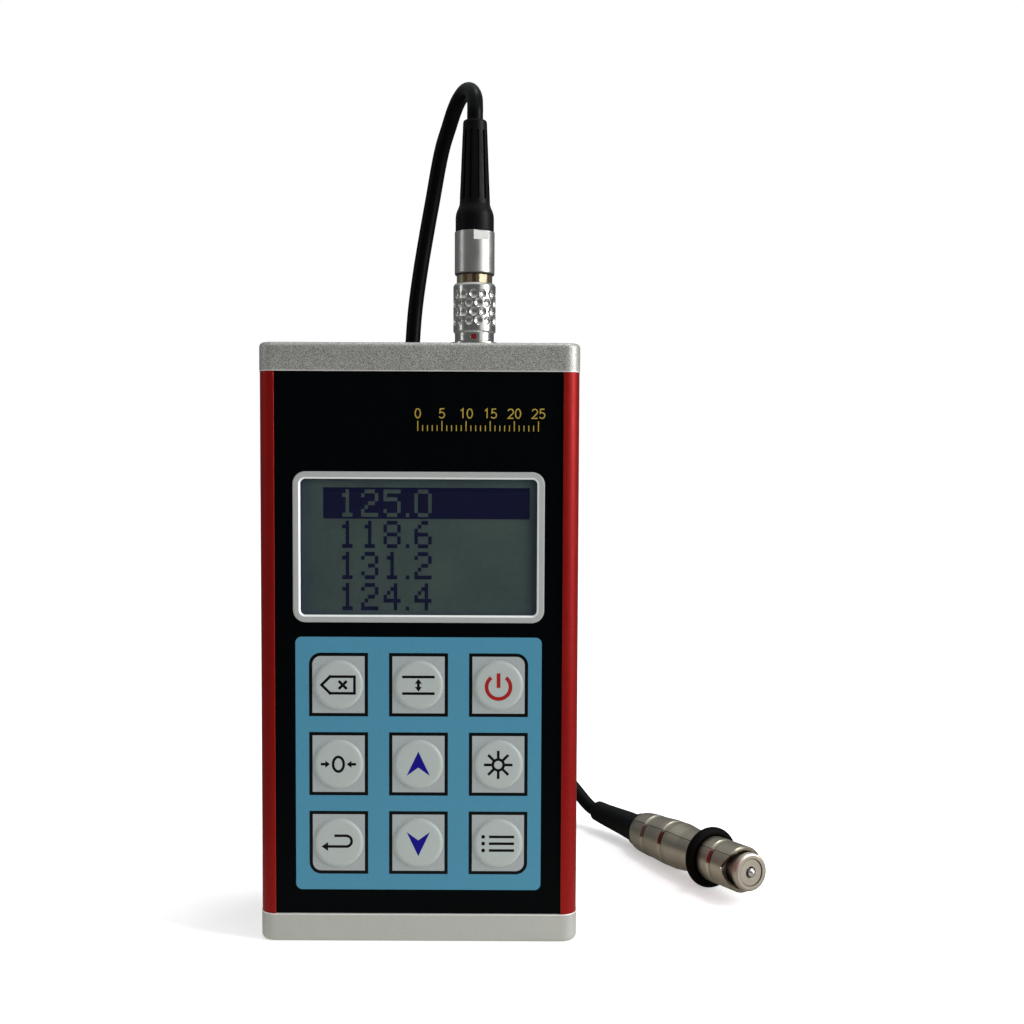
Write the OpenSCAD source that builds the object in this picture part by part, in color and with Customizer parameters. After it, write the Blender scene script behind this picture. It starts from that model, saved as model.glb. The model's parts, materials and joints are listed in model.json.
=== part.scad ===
// Coating thickness gauge with a plug-in probe on a cable.
// Millimetres. Origin at the centre of the base, +Z up, the keypad faces -Y, +X to the viewer's right.

/* [Housing] */
// Width over the end caps
body_w = 67; // [64:0.5:80]
// Depth over the end caps, front to back
body_d = 31; // [30:0.5:40]
// Height over the end caps
body_h = 126; // [122:1:150]
// Corner radius of the end caps, seen from above
corner_r = 3.2; // [2.4:0.1:4]
// How far the end caps stand out past the extrusion
cap_step = 0.1; // [0.05:0.05:0.4]
// Wall of the extrusion at the sides and the back
wall = 2; // [1.6:0.1:2.4]
// Wall of the extrusion behind the overlay
front_wall = 1.5; // [1.3:0.1:2]
// Width of the bare strip left and right of the overlay
strip_w = 3.4; // [2.8:0.1:5]
// Depth of the recess that takes the overlay
recess = 0.8; // [0.6:0.05:1.2]

/* [End caps] */
// Thickness of each end cap
cap_t = 6; // [5:0.5:8]
// Rounding of the outer edge of an end cap
cap_round = 1; // [0.5:0.1:1.6]
// Height of the lip that locates a cap in the extrusion
lip_h = 3; // [2:0.5:4]
// Wall of that lip
lip_t = 1.4; // [1:0.1:2]
// Distance of a cap screw from the side walls' outer faces
screw_in = 4.2; // [4:0.1:5]
// Radius of a cap screw's thread
screw_r = 1.25; // [1:0.05:1.4]
// Radius of a cap screw's countersunk head
screw_head_r = 2.5; // [2:0.1:2.6]
// Length of a cap screw
screw_len = 14; // [11:1:18]

/* [Display] */
// Width of the display bezel
bezel_w = 52.4; // [48:0.2:54]
// Height of the display bezel
bezel_h = 31.5; // [28:0.5:33]
// Width of the bezel's band
bezel_band = 1.55; // [1.2:0.05:2]
// Height of the display's centre above the base
display_z = 83.5; // [82.5:0.5:88]
// Thickness of the clear window
window_t = 0.6; // [0.4:0.1:0.8]
// Thickness of the display glass
glass_t = 2; // [1.6:0.1:2.4]
// Thickness of the backlight
backlight_t = 3.6; // [3:0.1:4]

/* [Keypad] */
// Diameter of a key's raised disc
key_d = 10.5; // [8:0.1:12]
// Distance between key centres, both ways
key_pitch = 16.75; // [15:0.25:17]
// Height of the middle row of keys above the base
keypad_z = 37.9; // [36:0.5:39]
// Height of a key's disc over the overlay
key_rise = 0.45; // [0.3:0.05:0.8]
// How far a key can be pressed
key_travel = 0.35; // [0.2:0.05:0.4]
// Diameter of a key's stem
stem_d = 5.2; // [4:0.1:6]

/* [Inside] */
// Thickness of the main board
board_t = 1.6; // [1.2:0.1:2]
// Height of a key switch over the board
switch_h = 3.5; // [2.5:0.1:4]
// Diameter of a battery cell
cell_d = 14.5; // [13:0.1:14.5]
// Length of a battery cell
cell_len = 50.5; // [44:0.5:52]
// Wall of the battery holder
holder_t = 1.4; // [1:0.1:1.6]

/* [Plug and socket] */
// Distance of the socket from the middle of the top cap
plug_x = 11; // [6:0.5:14]
// Outer radius of the dimpled grip
grip_r = 4.62; // [4.4:0.02:4.9]
// Radius of the smooth band under the grip
band_r = 4.27; // [4.1:0.01:4.35]
// Length of the grip sleeve
grip_len = 12.5; // [12:0.1:14]
// Number of dimples around the grip
dimples = 14; // [10:1:16]
// Diameter of a dimple
dimple_d = 2; // [1.4:0.1:2.1]
// Radius of the plug's core
core_r = 3.6; // [3.5:0.05:3.7]
// Radius of the plug's nose
nose_r = 3.2; // [3:0.05:3.3]
// Length of the plug's nose
nose_len = 8.8; // [8:0.1:10]
// Radius of the gold collar
collar_r = 3.95; // [3.85:0.01:4]
// Radius of the collet nut
nut_r = 4.35; // [4.2:0.05:4.6]
// Length of the collet nut
nut_len = 9.4; // [8:0.1:11]
// Length of the plug's bend relief
boot_len = 24.1; // [20:0.1:28]
// Travel of the grip sleeve when the plug is unlatched
grip_travel = 1.5; // [1:0.1:1.6]
// Diameter of the cable
cable_d = 3.5; // [3:0.1:3.8]

/* [Probe] */
// Largest radius of the probe's handle
handle_r = 5.65; // [5.5:0.05:6]
// Length of the handle behind the rubber ring
handle_len = 29.3; // [27:0.1:32]
// Radius of the front sleeve
sleeve_r = 5.27; // [5.25:0.01:5.5]
// Length of the front sleeve
sleeve_len = 11.5; // [11:0.1:13]
// Section diameter of the rubber ring
ring_d = 2.4; // [2:0.1:2.6]
// Radius of the neck under the ring and the sleeve
neck_r = 4.7; // [4.6:0.02:4.74]
// Radius of the sprung head
head_r = 4.32; // [4.1:0.02:4.36]
// How far the head stands out of the sleeve
head_out = 2.7; // [2:0.1:3.5]
// Travel of the head
head_travel = 1.5; // [1:0.1:1.8]
// Diameter of the wear ball
ball_d = 2; // [1.6:0.1:2.4]
// Half width of the V notch at the sleeve's rim
notch_w = 3.5; // [2.5:0.05:3.6]
// Depth of the V notch
notch_deep = 2.2; // [1.6:0.1:2.6]
// Direction in which the probe points, about +Z from +X
probe_turn = -63.5; // [-75:0.5:-50]

/* [Hidden] */
$fn = 64;
// Clearances: a sliding fit, a loose fit, and a gap that a piece may cross when it moves
fit = 0.05;
loose = 0.1;
gap = 0.2;
eps = 0.01;

// Extrusion, from its outer faces inwards
tube_w = body_w - 2 * cap_step;
tube_d = body_d - 2 * cap_step;
tube_r = corner_r - cap_step;
tube_z0 = cap_t;
tube_z1 = body_h - cap_t;
tube_h = tube_z1 - tube_z0;
front_y = -tube_d / 2;
floor_y = front_y + recess;
inner_y = floor_y + front_wall;
back_y = tube_d / 2 - wall;
side_x = tube_w / 2 - wall;
boss_r = screw_r + 1.25;
boss_x = tube_w / 2 - screw_in;
boss_y = tube_d / 2 - screw_in;

// Overlay, window, keys
overlay_t = 0.5;
overlay_w = tube_w - 2 * strip_w;
overlay_y = floor_y - overlay_t;
bezel_r = 2.6;
bezel_t = overlay_t + 0.3;
bezel_bevel = 0.3;
bezel_edge = 0.25;
pane_w = bezel_w - 2 * bezel_band;
pane_h = bezel_h - 2 * bezel_band;
pane_r = bezel_r - bezel_band;
pane_lip = 0.4;
key_r = key_d / 2;
key_edge = 0.4;
pocket_r = key_r + 0.4;
pocket_deep = key_travel + 0.3;
stem_r = stem_d / 2;

// Board stack behind the front wall
glass_y = inner_y + loose;
backlight_y = glass_y + glass_t;
board_y = backlight_y + backlight_t;
board_back_y = board_y + board_t;
board_w = 2 * (side_x - gap);
board_z0 = tube_z0 + lip_h + 0.6;
board_z1 = tube_z1 - lip_h - 0.6;
board_hole_r = 1.1;
board_hole_in = 4.5;
buzzer_r = 6;
buzzer_t = 5.5;
buzzer_drop = 24;
buzzer_in = 12.2;
chips_in = 12.2;
rail_t = 0.9;
rail_out = 1.6;
glass_w = 2 * (boss_x - boss_r - gap);
glass_h = bezel_h + 1.5;
backlight_h = glass_h + 1.4;
plunger_r = 1.75;
plunger_h = 0.8;
switch_w = 6;
switch_y = board_y - switch_h;
stem_end_y = switch_y - plunger_h - key_travel - loose;

// Batteries, laid against the back wall
cell_r = cell_d / 2;
cell_x = cell_r + 0.4;
cell_y = back_y - loose - holder_t - loose - cell_r;
contact_room = 3.5;
contact_t = 0.4;
holder_w = 2 * (2 * cell_x + holder_t);
holder_in = cell_len + 2 * contact_room;
holder_z = tube_z0 + lip_h + 1 + holder_t;
cell_z = holder_z + contact_room;

// Socket and plug heights, upwards from the top cap
flange_r = 5.3;
flange_t = 1.2;
barrel_r = nose_r + 1.35;
bore_r = nose_r + loose;
socket_z = body_h + flange_t;
socket_deep = nose_len + 5.6;
insert_t = 4.4;
socket_nut_t = 2.6;
socket_nut_r = barrel_r + 2.2;
shoulder_z = socket_z + gap;
nose_z = socket_z - nose_len;
grip_z = shoulder_z;
grip_top = grip_z + grip_len;
relief_len = 1.6;
collar_z = grip_top - relief_len + grip_travel + loose;
collar_len = 1.8;
collar_flats = 12;
nut_z = collar_z + collar_len;
boot_z = nut_z + nut_len;
boot_top = boot_z + boot_len;
spigot_r = nut_r - 1.4;
spigot_len = 4;
band_h = 2.1;
dimple_rows = 4;
dimple_step = 1.9;
dimple_z = grip_z + band_h + 2.25;
dimple_deep = 0.4;
dimple_ball = (pow(dimple_d / 2, 2) + pow(dimple_deep, 2)) / (2 * dimple_deep);
dot_r = 0.6;
pin_r = 0.35;
pin_ring = 1.3;
pins = 4;
cavity_r = nose_r - 0.55;

// Probe, measured along its axis from the middle of the rubber ring towards the tip
ring_r = ring_d / 2;
mark_deep = 0.28;
mark_nose = 1.5;
mark_1 = 6.9;
mark_2 = 15.3;
mark_3 = 4.7;
ring_mid = neck_r + ring_r + 0.02;
seat = ring_r + loose;
rim = seat + sleeve_len;
heel_a = -handle_len + 2.8;
heel_r = handle_r - 0.45;
head_face = rim + head_out;
head_edge = 0.5;
stop_a = rim - 4.6;
flange_len = 1;
head_flange_r = neck_r - fit;
over_travel = 1.1;
neck_end = stop_a - flange_len - loose - head_travel - over_travel;
pocket_a = -2;
web_t = 2;
guide_r = 1.6;
stem_len = 16;
plug_len = 1.5;
head_neck_r = head_r - 0.6;
head_rim_t = 1.3;
coil_bore = head_neck_r - 0.45;
face_wall = 1.9;
spring_turns = 5;
spring_wire = 0.35;
spring_mid = 2.8;

// The probe lies on its rubber ring and the heel of its handle
lay_rise = ring_mid - heel_r;
probe_tilt = asin(ring_r / norm([heel_a, lay_rise])) + atan(lay_rise / -heel_a);
probe_at = [67.3, 18.2, ring_mid * cos(probe_tilt) + ring_r];
probe_dir = [cos(probe_tilt) * cos(probe_turn), cos(probe_tilt) * sin(probe_turn), sin(probe_tilt)];
notch_turn = -10;

// Route of the cable: up out of the plug, over, down behind the gauge and forward to the probe
cable_route = [
    [11, 0.4, 178.1], [10.8, 1.8, 180.8], [9.9, 4.4, 182.9], [8.6, 7.6, 183.7], [7.1, 10.6, 182.8],
    [5.8, 13.2, 180.9], [4.4, 15.6, 177.6], [3, 17.3, 173.8], [1.8, 19, 169], [0.6, 20.5, 163],
    [-1, 22, 155], [-2.6, 23, 146], [-3.9, 24, 137], [-4.6, 24.5, 128], [-5, 25.2, 119],
    [-5, 26.4, 110], [-4.4, 28, 101], [-3.2, 30.2, 92], [-1.4, 33, 83], [1, 36.6, 74.5],
    [4, 41, 66], [7.4, 46, 58], [11, 51.4, 50.4], [14.8, 57, 43.2], [18.6, 62.5, 36.4],
    [22.4, 67.4, 30], [26, 71.2, 24.2], [29.4, 73.6, 19], [32.6, 74.4, 14.6], [35.4, 72.6, 11.1],
    [38.2, 68.6, 8.4], [40.2, 65.4, 6.6], [41.78, 63.175, 5.578], [43, 61.6, 5.4]
];
// Middle line of the probe's bend relief, from the handle back to the cable
boot_route = [[50.3, 51.6, 4.75], [47.9, 55.1, 4.85], [45.4, 58.5, 5.044], [43, 61.6, 5.4]];
boot_radii = [4.35, 4.35, 3.8, 3.7, 3.45, 3.2, 2.95, 2.65];
// Distances at which each route runs straight out of the piece that it starts at
cable_out = [0, 1.6];
boot_out = [0, 1.6, 2.2, 4];
// Direction that neither route runs along
cable_across = [0.94, 0.34, 0];

KEY_NAMES = [
    "key_delete", "key_limit", "key_power",
    "key_zero", "key_up", "key_light",
    "key_exit", "key_down", "key_menu"
];

// Shared shapes

// Upright bar with round corners, standing on z = 0
module round_bar(w, d, h, r) {
    linear_extrude(height = h) {
        square([w - 2 * r, d], center = true);
        square([w, d - 2 * r], center = true);
        for (x = [-1, 1], y = [-1, 1])
            translate([x * (w / 2 - r), y * (d / 2 - r)]) circle(r = r);
    }
}

// The same bar lying against the plane y and growing towards the viewer, centred at height z
module front_plate(w, h, t, r, y, z) {
    translate([0, y, z]) rotate([90, 0, 0]) round_bar(w, h, t, r);
}

// Round piece pointing at the viewer from the plane y
module front_disc(r, t, x, y, z) {
    translate([x, y, z]) rotate([90, 0, 0]) cylinder(h = t, r = r);
}

// Section carried round a rectangle on z = 0; the section's X runs outwards from the corners' centres
module round_sides(w, d, r) {
    for (k = [0 : 3]) {
        corner = (k % 2 == 0 ? [w, d] : [d, w]) / 2 - [r, r];
        rotate([0, 0, 90 * k]) translate([corner[0], corner[1], 0]) {
            rotate([90, 0, 0]) linear_extrude(height = 2 * corner[1]) children();
            rotate_extrude(angle = 90) children();
        }
    }
}

// Box given by its two corners
module box(a, b) {
    translate(a) cube(b - a);
}

// Ring standing on z
module ring(r_out, r_in, z, h) {
    difference() {
        translate([0, 0, z]) cylinder(h = h, r = r_out);
        translate([0, 0, z - eps]) cylinder(h = h + 2 * eps, r = r_in);
    }
}

// Unit vector
function unit(v) = v / norm(v);

// Direction of a route at point i
function heading(p, i) = unit(p[min(i + 1, len(p) - 1)] - p[max(i - 1, 0)]);

// Corner k of n on the ring round point i of a route, which never runs along the direction across
function ring_corner(p, i, r, k, n, across) =
    let (t = heading(p, i))
    let (s = unit(cross(t, across)))
    p[i] + r * (cos(360 * k / n) * s + sin(360 * k / n) * cross(t, s));

// Closed tube along a route, with one radius for each point
module sweep_tube(p, radii, n, across) {
    m = len(p);
    points = [for (i = [0 : m - 1], k = [0 : n - 1]) ring_corner(p, i, radii[i], k, n, across)];
    sides = [
        for (i = [0 : m - 2], k = [0 : n - 1])
        [i * n + k, (i + 1) * n + k, (i + 1) * n + (k + 1) % n, i * n + (k + 1) % n]
    ];
    first = [for (k = [0 : n - 1]) k];
    last = [for (k = [n - 1 : -1 : 0]) (m - 1) * n + k];
    polyhedron(points, concat(sides, [first, last]));
}

// Helix standing on z0, with the wire's middle line at radius r
function helix(r, z0, h, turns, steps) =
    let (rise = h / (turns * steps))
    [for (i = [0 : turns * steps]) [r * cos(360 * i / steps), r * sin(360 * i / steps), z0 + rise * i]];

// Places for the four cap screws
module at_screws() {
    for (x = [-1, 1], y = [-1, 1]) translate([x * boss_x, y * boss_y, 0]) children();
}

// Places for the nine keys, as [x, z]
function key_at(i) = [(i % 3 - 1) * key_pitch, keypad_z - (floor(i / 3) - 1) * key_pitch];

// Frame of the socket and the plug
module at_plug() {
    translate([plug_x, 0, 0]) children();
}

// Frame of the probe, with its axis along +Z
module at_probe() {
    translate(probe_at) rotate([0, 90 - probe_tilt, probe_turn]) children();
}

// Places for the contacts round the plug's axis
module at_pins() {
    for (k = [0 : pins - 1])
        rotate([0, 0, 360 * (k + 0.5) / pins]) translate([pin_ring, 0, 0]) children();
}

// Housing

// Extruded tube with a recess for the overlay, four screw channels and two pairs of board rails
module body_extrusion() {
    color("firebrick") difference() {
        translate([0, 0, tube_z0]) round_bar(tube_w, tube_d, tube_h, tube_r);
        extrusion_hollow();
        box([-overlay_w / 2, front_y - 1, tube_z0 - 1], [overlay_w / 2, floor_y, tube_z1 + 1]);
        at_screws() translate([0, 0, tube_z0 - 1]) cylinder(h = tube_h + 2, r = screw_r);
        front_plate(pane_w - 2 * pane_lip, pane_h - 2 * pane_lip, front_wall + 1, pane_r,
            inner_y + 0.5, display_z);
        for (i = [0 : 8]) {
            front_disc(stem_r + loose * 3, front_wall + 1, key_at(i)[0], inner_y + 0.5, key_at(i)[1]);
            front_disc(pocket_r, pocket_deep + 0.5, key_at(i)[0], floor_y + pocket_deep, key_at(i)[1]);
        }
    }
}

// What the die leaves open inside the extrusion
module extrusion_hollow() {
    difference() {
        box([-side_x, inner_y, tube_z0 - 1], [side_x, back_y, tube_z1 + 1]);
        for (x = [-1, 1], y = [-1, 1]) {
            translate([x * boss_x, y * boss_y, tube_z0 - 2]) cylinder(h = tube_h + 4, r = boss_r);
            corner_web(x, y);
        }
        for (x = [-1, 1], y = [board_y - loose - rail_t, board_back_y + loose])
            box([min(x * (side_x - rail_out), x * (side_x + 1)), y, tube_z0 - 2],
                [max(x * (side_x - rail_out), x * (side_x + 1)), y + rail_t, tube_z1 + 2]);
    }
}

// Web that ties a screw channel to its corner
module corner_web(x, y) {
    out_y = y < 0 ? inner_y - 1 : back_y + 1;
    box([min(x * boss_x, x * (side_x + 1)), min(y * boss_y, out_y), tube_z0 - 2],
        [max(x * boss_x, x * (side_x + 1)), max(y * boss_y, out_y), tube_z1 + 2]);
}

// Section of a cap's border with its rounded edge downwards
module cap_section() {
    translate([0, cap_round]) square([corner_r, cap_t - cap_round]);
    square([corner_r - cap_round, cap_t]);
    translate([corner_r - cap_round, cap_round]) circle(r = cap_round);
}

// Cap plate lying on z = 0
module cap_plate() {
    round_sides(body_w, body_d, corner_r) cap_section();
    x = body_w / 2 - corner_r;
    y = body_d / 2 - corner_r;
    box([-x, -y, 0], [x, y, cap_t]);
}

// Cap with its lip and countersunk screw holes, outer face on z = 0
module cap() {
    lip_x = boss_x - boss_r - gap;
    lip_y0 = inner_y + loose;
    lip_y1 = back_y - loose;
    difference() {
        union() {
            cap_plate();
            difference() {
                box([-lip_x, lip_y0, cap_t - 1], [lip_x, lip_y1, cap_t + lip_h]);
                box([-lip_x + lip_t, lip_y0 + lip_t, cap_t],
                    [lip_x - lip_t, lip_y1 - lip_t, cap_t + lip_h + 1]);
            }
        }
        at_screws() {
            translate([0, 0, -1]) cylinder(h = cap_t + 2, r = screw_r + loose * 2);
            translate([0, 0, -1]) cylinder(h = 1 + gap, r = screw_head_r + fit);
            translate([0, 0, gap])
                cylinder(h = screw_head_r - screw_r, r1 = screw_head_r + fit, r2 = screw_r + fit);
        }
    }
}

module bottom_cap() {
    color("silver") cap();
}

module top_cap() {
    color("silver") difference() {
        translate([0, 0, body_h]) mirror([0, 0, 1]) cap();
        at_plug() translate([0, 0, body_h - cap_t - 1]) cylinder(h = cap_t + 2, r = barrel_r + fit);
    }
}

// Countersunk screw with a hexagon socket, pointing up from z = gap
module cap_screw() {
    head_h = screw_head_r - screw_r;
    difference() {
        union() {
            translate([0, 0, gap]) cylinder(h = head_h, r1 = screw_head_r, r2 = screw_r - fit);
            translate([0, 0, gap]) cylinder(h = screw_len, r = screw_r - fit);
        }
        translate([0, 0, gap - 1]) cylinder(h = 1 + head_h, r = screw_r * 0.8, $fn = 6);
    }
}

module bottom_cap_screws() {
    color("dimgray") at_screws() cap_screw();
}

module top_cap_screws() {
    color("dimgray") translate([0, 0, body_h]) mirror([0, 0, 1]) at_screws() cap_screw();
}

// Printed film in the recess, cut out for the bezel and for each key
module front_overlay() {
    color("black") difference() {
        box([-overlay_w / 2 + fit, overlay_y, tube_z0 + fit], [overlay_w / 2 - fit, floor_y, tube_z1 - fit]);
        front_plate(bezel_w + 2 * fit, bezel_h + 2 * fit, overlay_t + 1, bezel_r + fit,
            floor_y + 0.5, display_z);
        for (i = [0 : 8])
            front_disc(key_r + loose, overlay_t + 1, key_at(i)[0], floor_y + 0.5, key_at(i)[1]);
    }
}

// Section of the bezel: bevelled inner edge and rounded outer edge
module bezel_section() {
    outer = bezel_r - bezel_edge;
    polygon([
        [pane_r, 0], [outer, 0], [outer, bezel_t],
        [pane_r + bezel_bevel, bezel_t], [pane_r, bezel_t - bezel_bevel]
    ]);
    translate([outer - eps, 0]) square([bezel_edge + eps, bezel_t - bezel_edge]);
    translate([outer, bezel_t - bezel_edge]) circle(r = bezel_edge);
}

// Frame round the display
module display_bezel() {
    color("gainsboro") translate([0, floor_y, display_z]) rotate([90, 0, 0])
        round_sides(bezel_w, bezel_h, bezel_r) bezel_section();
}

module display_window() {
    color("lightslategray")
        front_plate(pane_w - 2 * fit, pane_h - 2 * fit, window_t, pane_r - fit, floor_y, display_z);
}

// Keypad

// Domed film key with the stem that reaches its switch
module key(i) {
    rise = overlay_t + key_rise;
    color("whitesmoke") translate([key_at(i)[0], 0, key_at(i)[1]]) {
        translate([0, floor_y, 0]) rotate([90, 0, 0]) rotate_extrude() {
            square([key_r - key_edge, rise]);
            square([key_r, rise - key_edge]);
            translate([key_r - key_edge, rise - key_edge]) circle(r = key_edge);
        }
        front_disc(stem_r, stem_end_y - floor_y + eps, 0, stem_end_y, 0);
    }
}

// Push switches on the board, one behind each key
module key_switches() {
    color("dimgray") for (i = [0 : 8]) translate([key_at(i)[0], 0, key_at(i)[1]]) {
        box([-switch_w / 2, switch_y, -switch_w / 2], [switch_w / 2, board_y, switch_w / 2]);
        front_disc(plunger_r, plunger_h + eps, 0, switch_y + eps, 0);
    }
}

// Inside

// Board held in the rails, with a tooling hole near each corner
module main_board() {
    color("seagreen") difference() {
        box([-board_w / 2, board_y, board_z0], [board_w / 2, board_back_y, board_z1]);
        for (x = [-1, 1], z = [board_z0 + board_hole_in, board_z1 - board_hole_in])
            front_disc(board_hole_r, board_t + 2, x * (board_w / 2 - board_hole_in), board_back_y + 1, z);
    }
}

// Components on the back of the board, as [x, drop from the board's top, width, height, thickness]
module board_chips() {
    column_x = board_w / 2 - chips_in;
    chips = [
        [0, 28, 14, 14, 1.4], [column_x - 2, 24, 8, 5, 1.2], [column_x - 2, 34, 5, 4, 1.1],
        [-2, 12, 10, 3.5, 3], [column_x, 12, 6, 4, 2]
    ];
    color("darkslategray") for (c = chips)
        translate([c[0], board_back_y, board_z1 - c[1]])
            box([-c[2] / 2, 0, -c[3] / 2], [c[2] / 2, c[4], c[3] / 2]);
}

// Round sounder on the back of the board
module buzzer() {
    x = -board_w / 2 + buzzer_in;
    z = board_z1 - buzzer_drop;
    color("black") difference() {
        front_disc(buzzer_r, buzzer_t, x, board_back_y + buzzer_t, z);
        front_disc(buzzer_r / 6, buzzer_t / 2, x, board_back_y + buzzer_t + 1, z);
    }
}

module lcd_glass() {
    color("darkseagreen")
        box([-glass_w / 2, glass_y, display_z - glass_h / 2],
            [glass_w / 2, backlight_y, display_z + glass_h / 2]);
}

module lcd_backlight() {
    color("white")
        box([-glass_w / 2, backlight_y, display_z - backlight_h / 2],
            [glass_w / 2, board_y, display_z + backlight_h / 2]);
}

// Open tray that holds two cells upright against the back wall
module battery_holder() {
    y1 = back_y - loose;
    y0 = cell_y - cell_r / 2;
    color("dimgray") difference() {
        box([-holder_w / 2, y0, holder_z - holder_t], [holder_w / 2, y1, holder_z + holder_in + holder_t]);
        box([-holder_w / 2 + holder_t, y0 - 1, holder_z],
            [holder_w / 2 - holder_t, y1 - holder_t, holder_z + holder_in]);
    }
}

// Two cells, each with its raised pole
module battery_cells() {
    pole_r = cell_r * 0.36;
    pole_h = 1.2;
    color("goldenrod") for (x = [-1, 1]) translate([x * cell_x, cell_y, cell_z]) {
        cylinder(h = cell_len - pole_h, r = cell_r);
        cylinder(h = cell_len, r = pole_r);
    }
}

// Contact plates at the ends of the cells, with a coil under each
module battery_contacts() {
    coil_turns = 2;
    wire = 0.3;
    plate = cell_r * 0.7;
    button = cell_r * 0.28;
    color("silver") for (x = [-1, 1]) translate([x * cell_x, cell_y, 0]) {
        top = holder_z + holder_in;
        box([-plate, -plate, holder_z], [plate, plate, holder_z + contact_t]);
        box([-plate, -plate, top - contact_t], [plate, plate, top]);
        box([-button, -button, cell_z + cell_len + loose], [button, button, top - contact_t + eps]);
        coil_h = contact_room - contact_t - 2 * wire - 2 * loose;
        route = helix(cell_r * 0.5, holder_z + contact_t + wire + loose, coil_h, coil_turns, 12);
        sweep_tube(route, [for (p = route) wire], 6, [0, 0, 1]);
    }
}

// Socket in the top cap

// Flanged barrel that takes the plug's nose
module probe_socket() {
    color("silver") at_plug() difference() {
        union() {
            translate([0, 0, body_h]) cylinder(h = flange_t, r = flange_r);
            translate([0, 0, socket_z - socket_deep]) cylinder(h = socket_deep - eps, r = barrel_r);
        }
        translate([0, 0, socket_z - socket_deep - 1]) cylinder(h = socket_deep + 2, r = bore_r);
    }
}

// Hexagon nut that draws the socket's flange down on the cap
module socket_nut() {
    z = body_h - cap_t - socket_nut_t;
    color("silver") at_plug() difference() {
        translate([0, 0, z]) cylinder(h = socket_nut_t, r = socket_nut_r, $fn = 6);
        translate([0, 0, z - 1]) cylinder(h = socket_nut_t + 2, r = barrel_r + fit);
    }
}

// Insulator at the bottom of the socket, with a spigot that enters the plug
module socket_insert() {
    z = socket_z - socket_deep;
    spigot = nose_z + 2.2;
    color("whitesmoke") at_plug() difference() {
        union() {
            translate([0, 0, z]) cylinder(h = insert_t, r = bore_r - fit);
            translate([0, 0, z]) cylinder(h = spigot - z, r = cavity_r - gap);
        }
        at_pins() translate([0, 0, z - 1]) cylinder(h = spigot - z + 2, r = pin_r + loose);
    }
}

// Contacts in the insulator, with tails for the leads
module socket_pins() {
    z = socket_z - socket_deep;
    tail = 3;
    color("gold") at_plug() at_pins()
        translate([0, 0, z - tail]) cylinder(h = tail + insert_t - 0.6, r = pin_r + fit);
}

// Plug

// Latch shell: nose, core under the grip, collar with flats and the spigot for the nut
module plug_shell() {
    // The flats stop just short of each other
    flat_r = collar_r * cos(150 / collar_flats);
    color("goldenrod") at_plug() difference() {
        rotate_extrude() polygon([
            [cavity_r, nose_z], [nose_r - 0.2, nose_z], [nose_r, nose_z + 0.4], [nose_r, shoulder_z],
            [core_r, shoulder_z], [core_r, collar_z],
            [collar_r - 0.15, collar_z], [collar_r, collar_z + 0.15], [collar_r, nut_z],
            [spigot_r, nut_z], [spigot_r, nut_z + spigot_len], [cavity_r, nut_z + spigot_len]
        ]);
        for (k = [0 : collar_flats - 1]) rotate([0, 0, 360 * k / collar_flats])
            box([flat_r, -collar_r, collar_z - eps], [2 * collar_r, collar_r, nut_z + eps]);
    }
}

// Grip sleeve: smooth band, step, four staggered rows of dimples and a chamfered top
module plug_sleeve() {
    color("silver") at_plug() difference() {
        rotate_extrude() polygon([
            [core_r + loose, grip_z], [band_r - 0.15, grip_z], [band_r, grip_z + 0.15],
            [band_r, grip_z + band_h - 0.3], [grip_r - 0.1, grip_z + band_h],
            [grip_r, grip_z + band_h + 0.15], [grip_r, grip_top - 0.5],
            [grip_r - 0.3, grip_top], [collar_r + loose, grip_top],
            [collar_r + loose, grip_top - relief_len], [core_r + loose, grip_top - relief_len]
        ]);
        for (row = [0 : dimple_rows - 1], k = [0 : dimples - 1])
            rotate([0, 0, 360 * (k + row % 2 / 2) / dimples])
                translate([grip_r - dimple_deep + dimple_ball, 0, dimple_z + row * dimple_step])
                    sphere(r = dimple_ball, $fn = 32);
        dot_hole(dot_r + fit);
    }
}

// Round sink in the band for the alignment mark
module dot_hole(r) {
    translate([0, -band_r + 0.35, grip_z + band_h / 2 - 0.15]) rotate([90, 0, 0]) cylinder(h = 1, r = r);
}

// Enamel alignment mark
module plug_dot() {
    color("red") at_plug() intersection() {
        dot_hole(dot_r);
        translate([0, 0, grip_z]) cylinder(h = band_h, r = band_r - 0.05);
    }
}

// Collet nut with two spanner flats at its top
module plug_nut() {
    flat_h = 2;
    flat_in = 0.37;
    flat_turn = 23;
    color("silver") at_plug() difference() {
        rotate_extrude() polygon([
            [spigot_r + fit, nut_z], [nut_r - 0.5, nut_z], [nut_r - 0.12, nut_z + 0.2],
            [nut_r, nut_z + 0.6], [nut_r, boot_z], [spigot_r + fit, boot_z]
        ]);
        for (turn = [flat_turn, flat_turn + 180])
            rotate([0, 0, turn])
                box([-nut_r, -nut_r - 1, boot_z - flat_h], [nut_r, -nut_r + flat_in, boot_z + 1]);
    }
}

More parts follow.
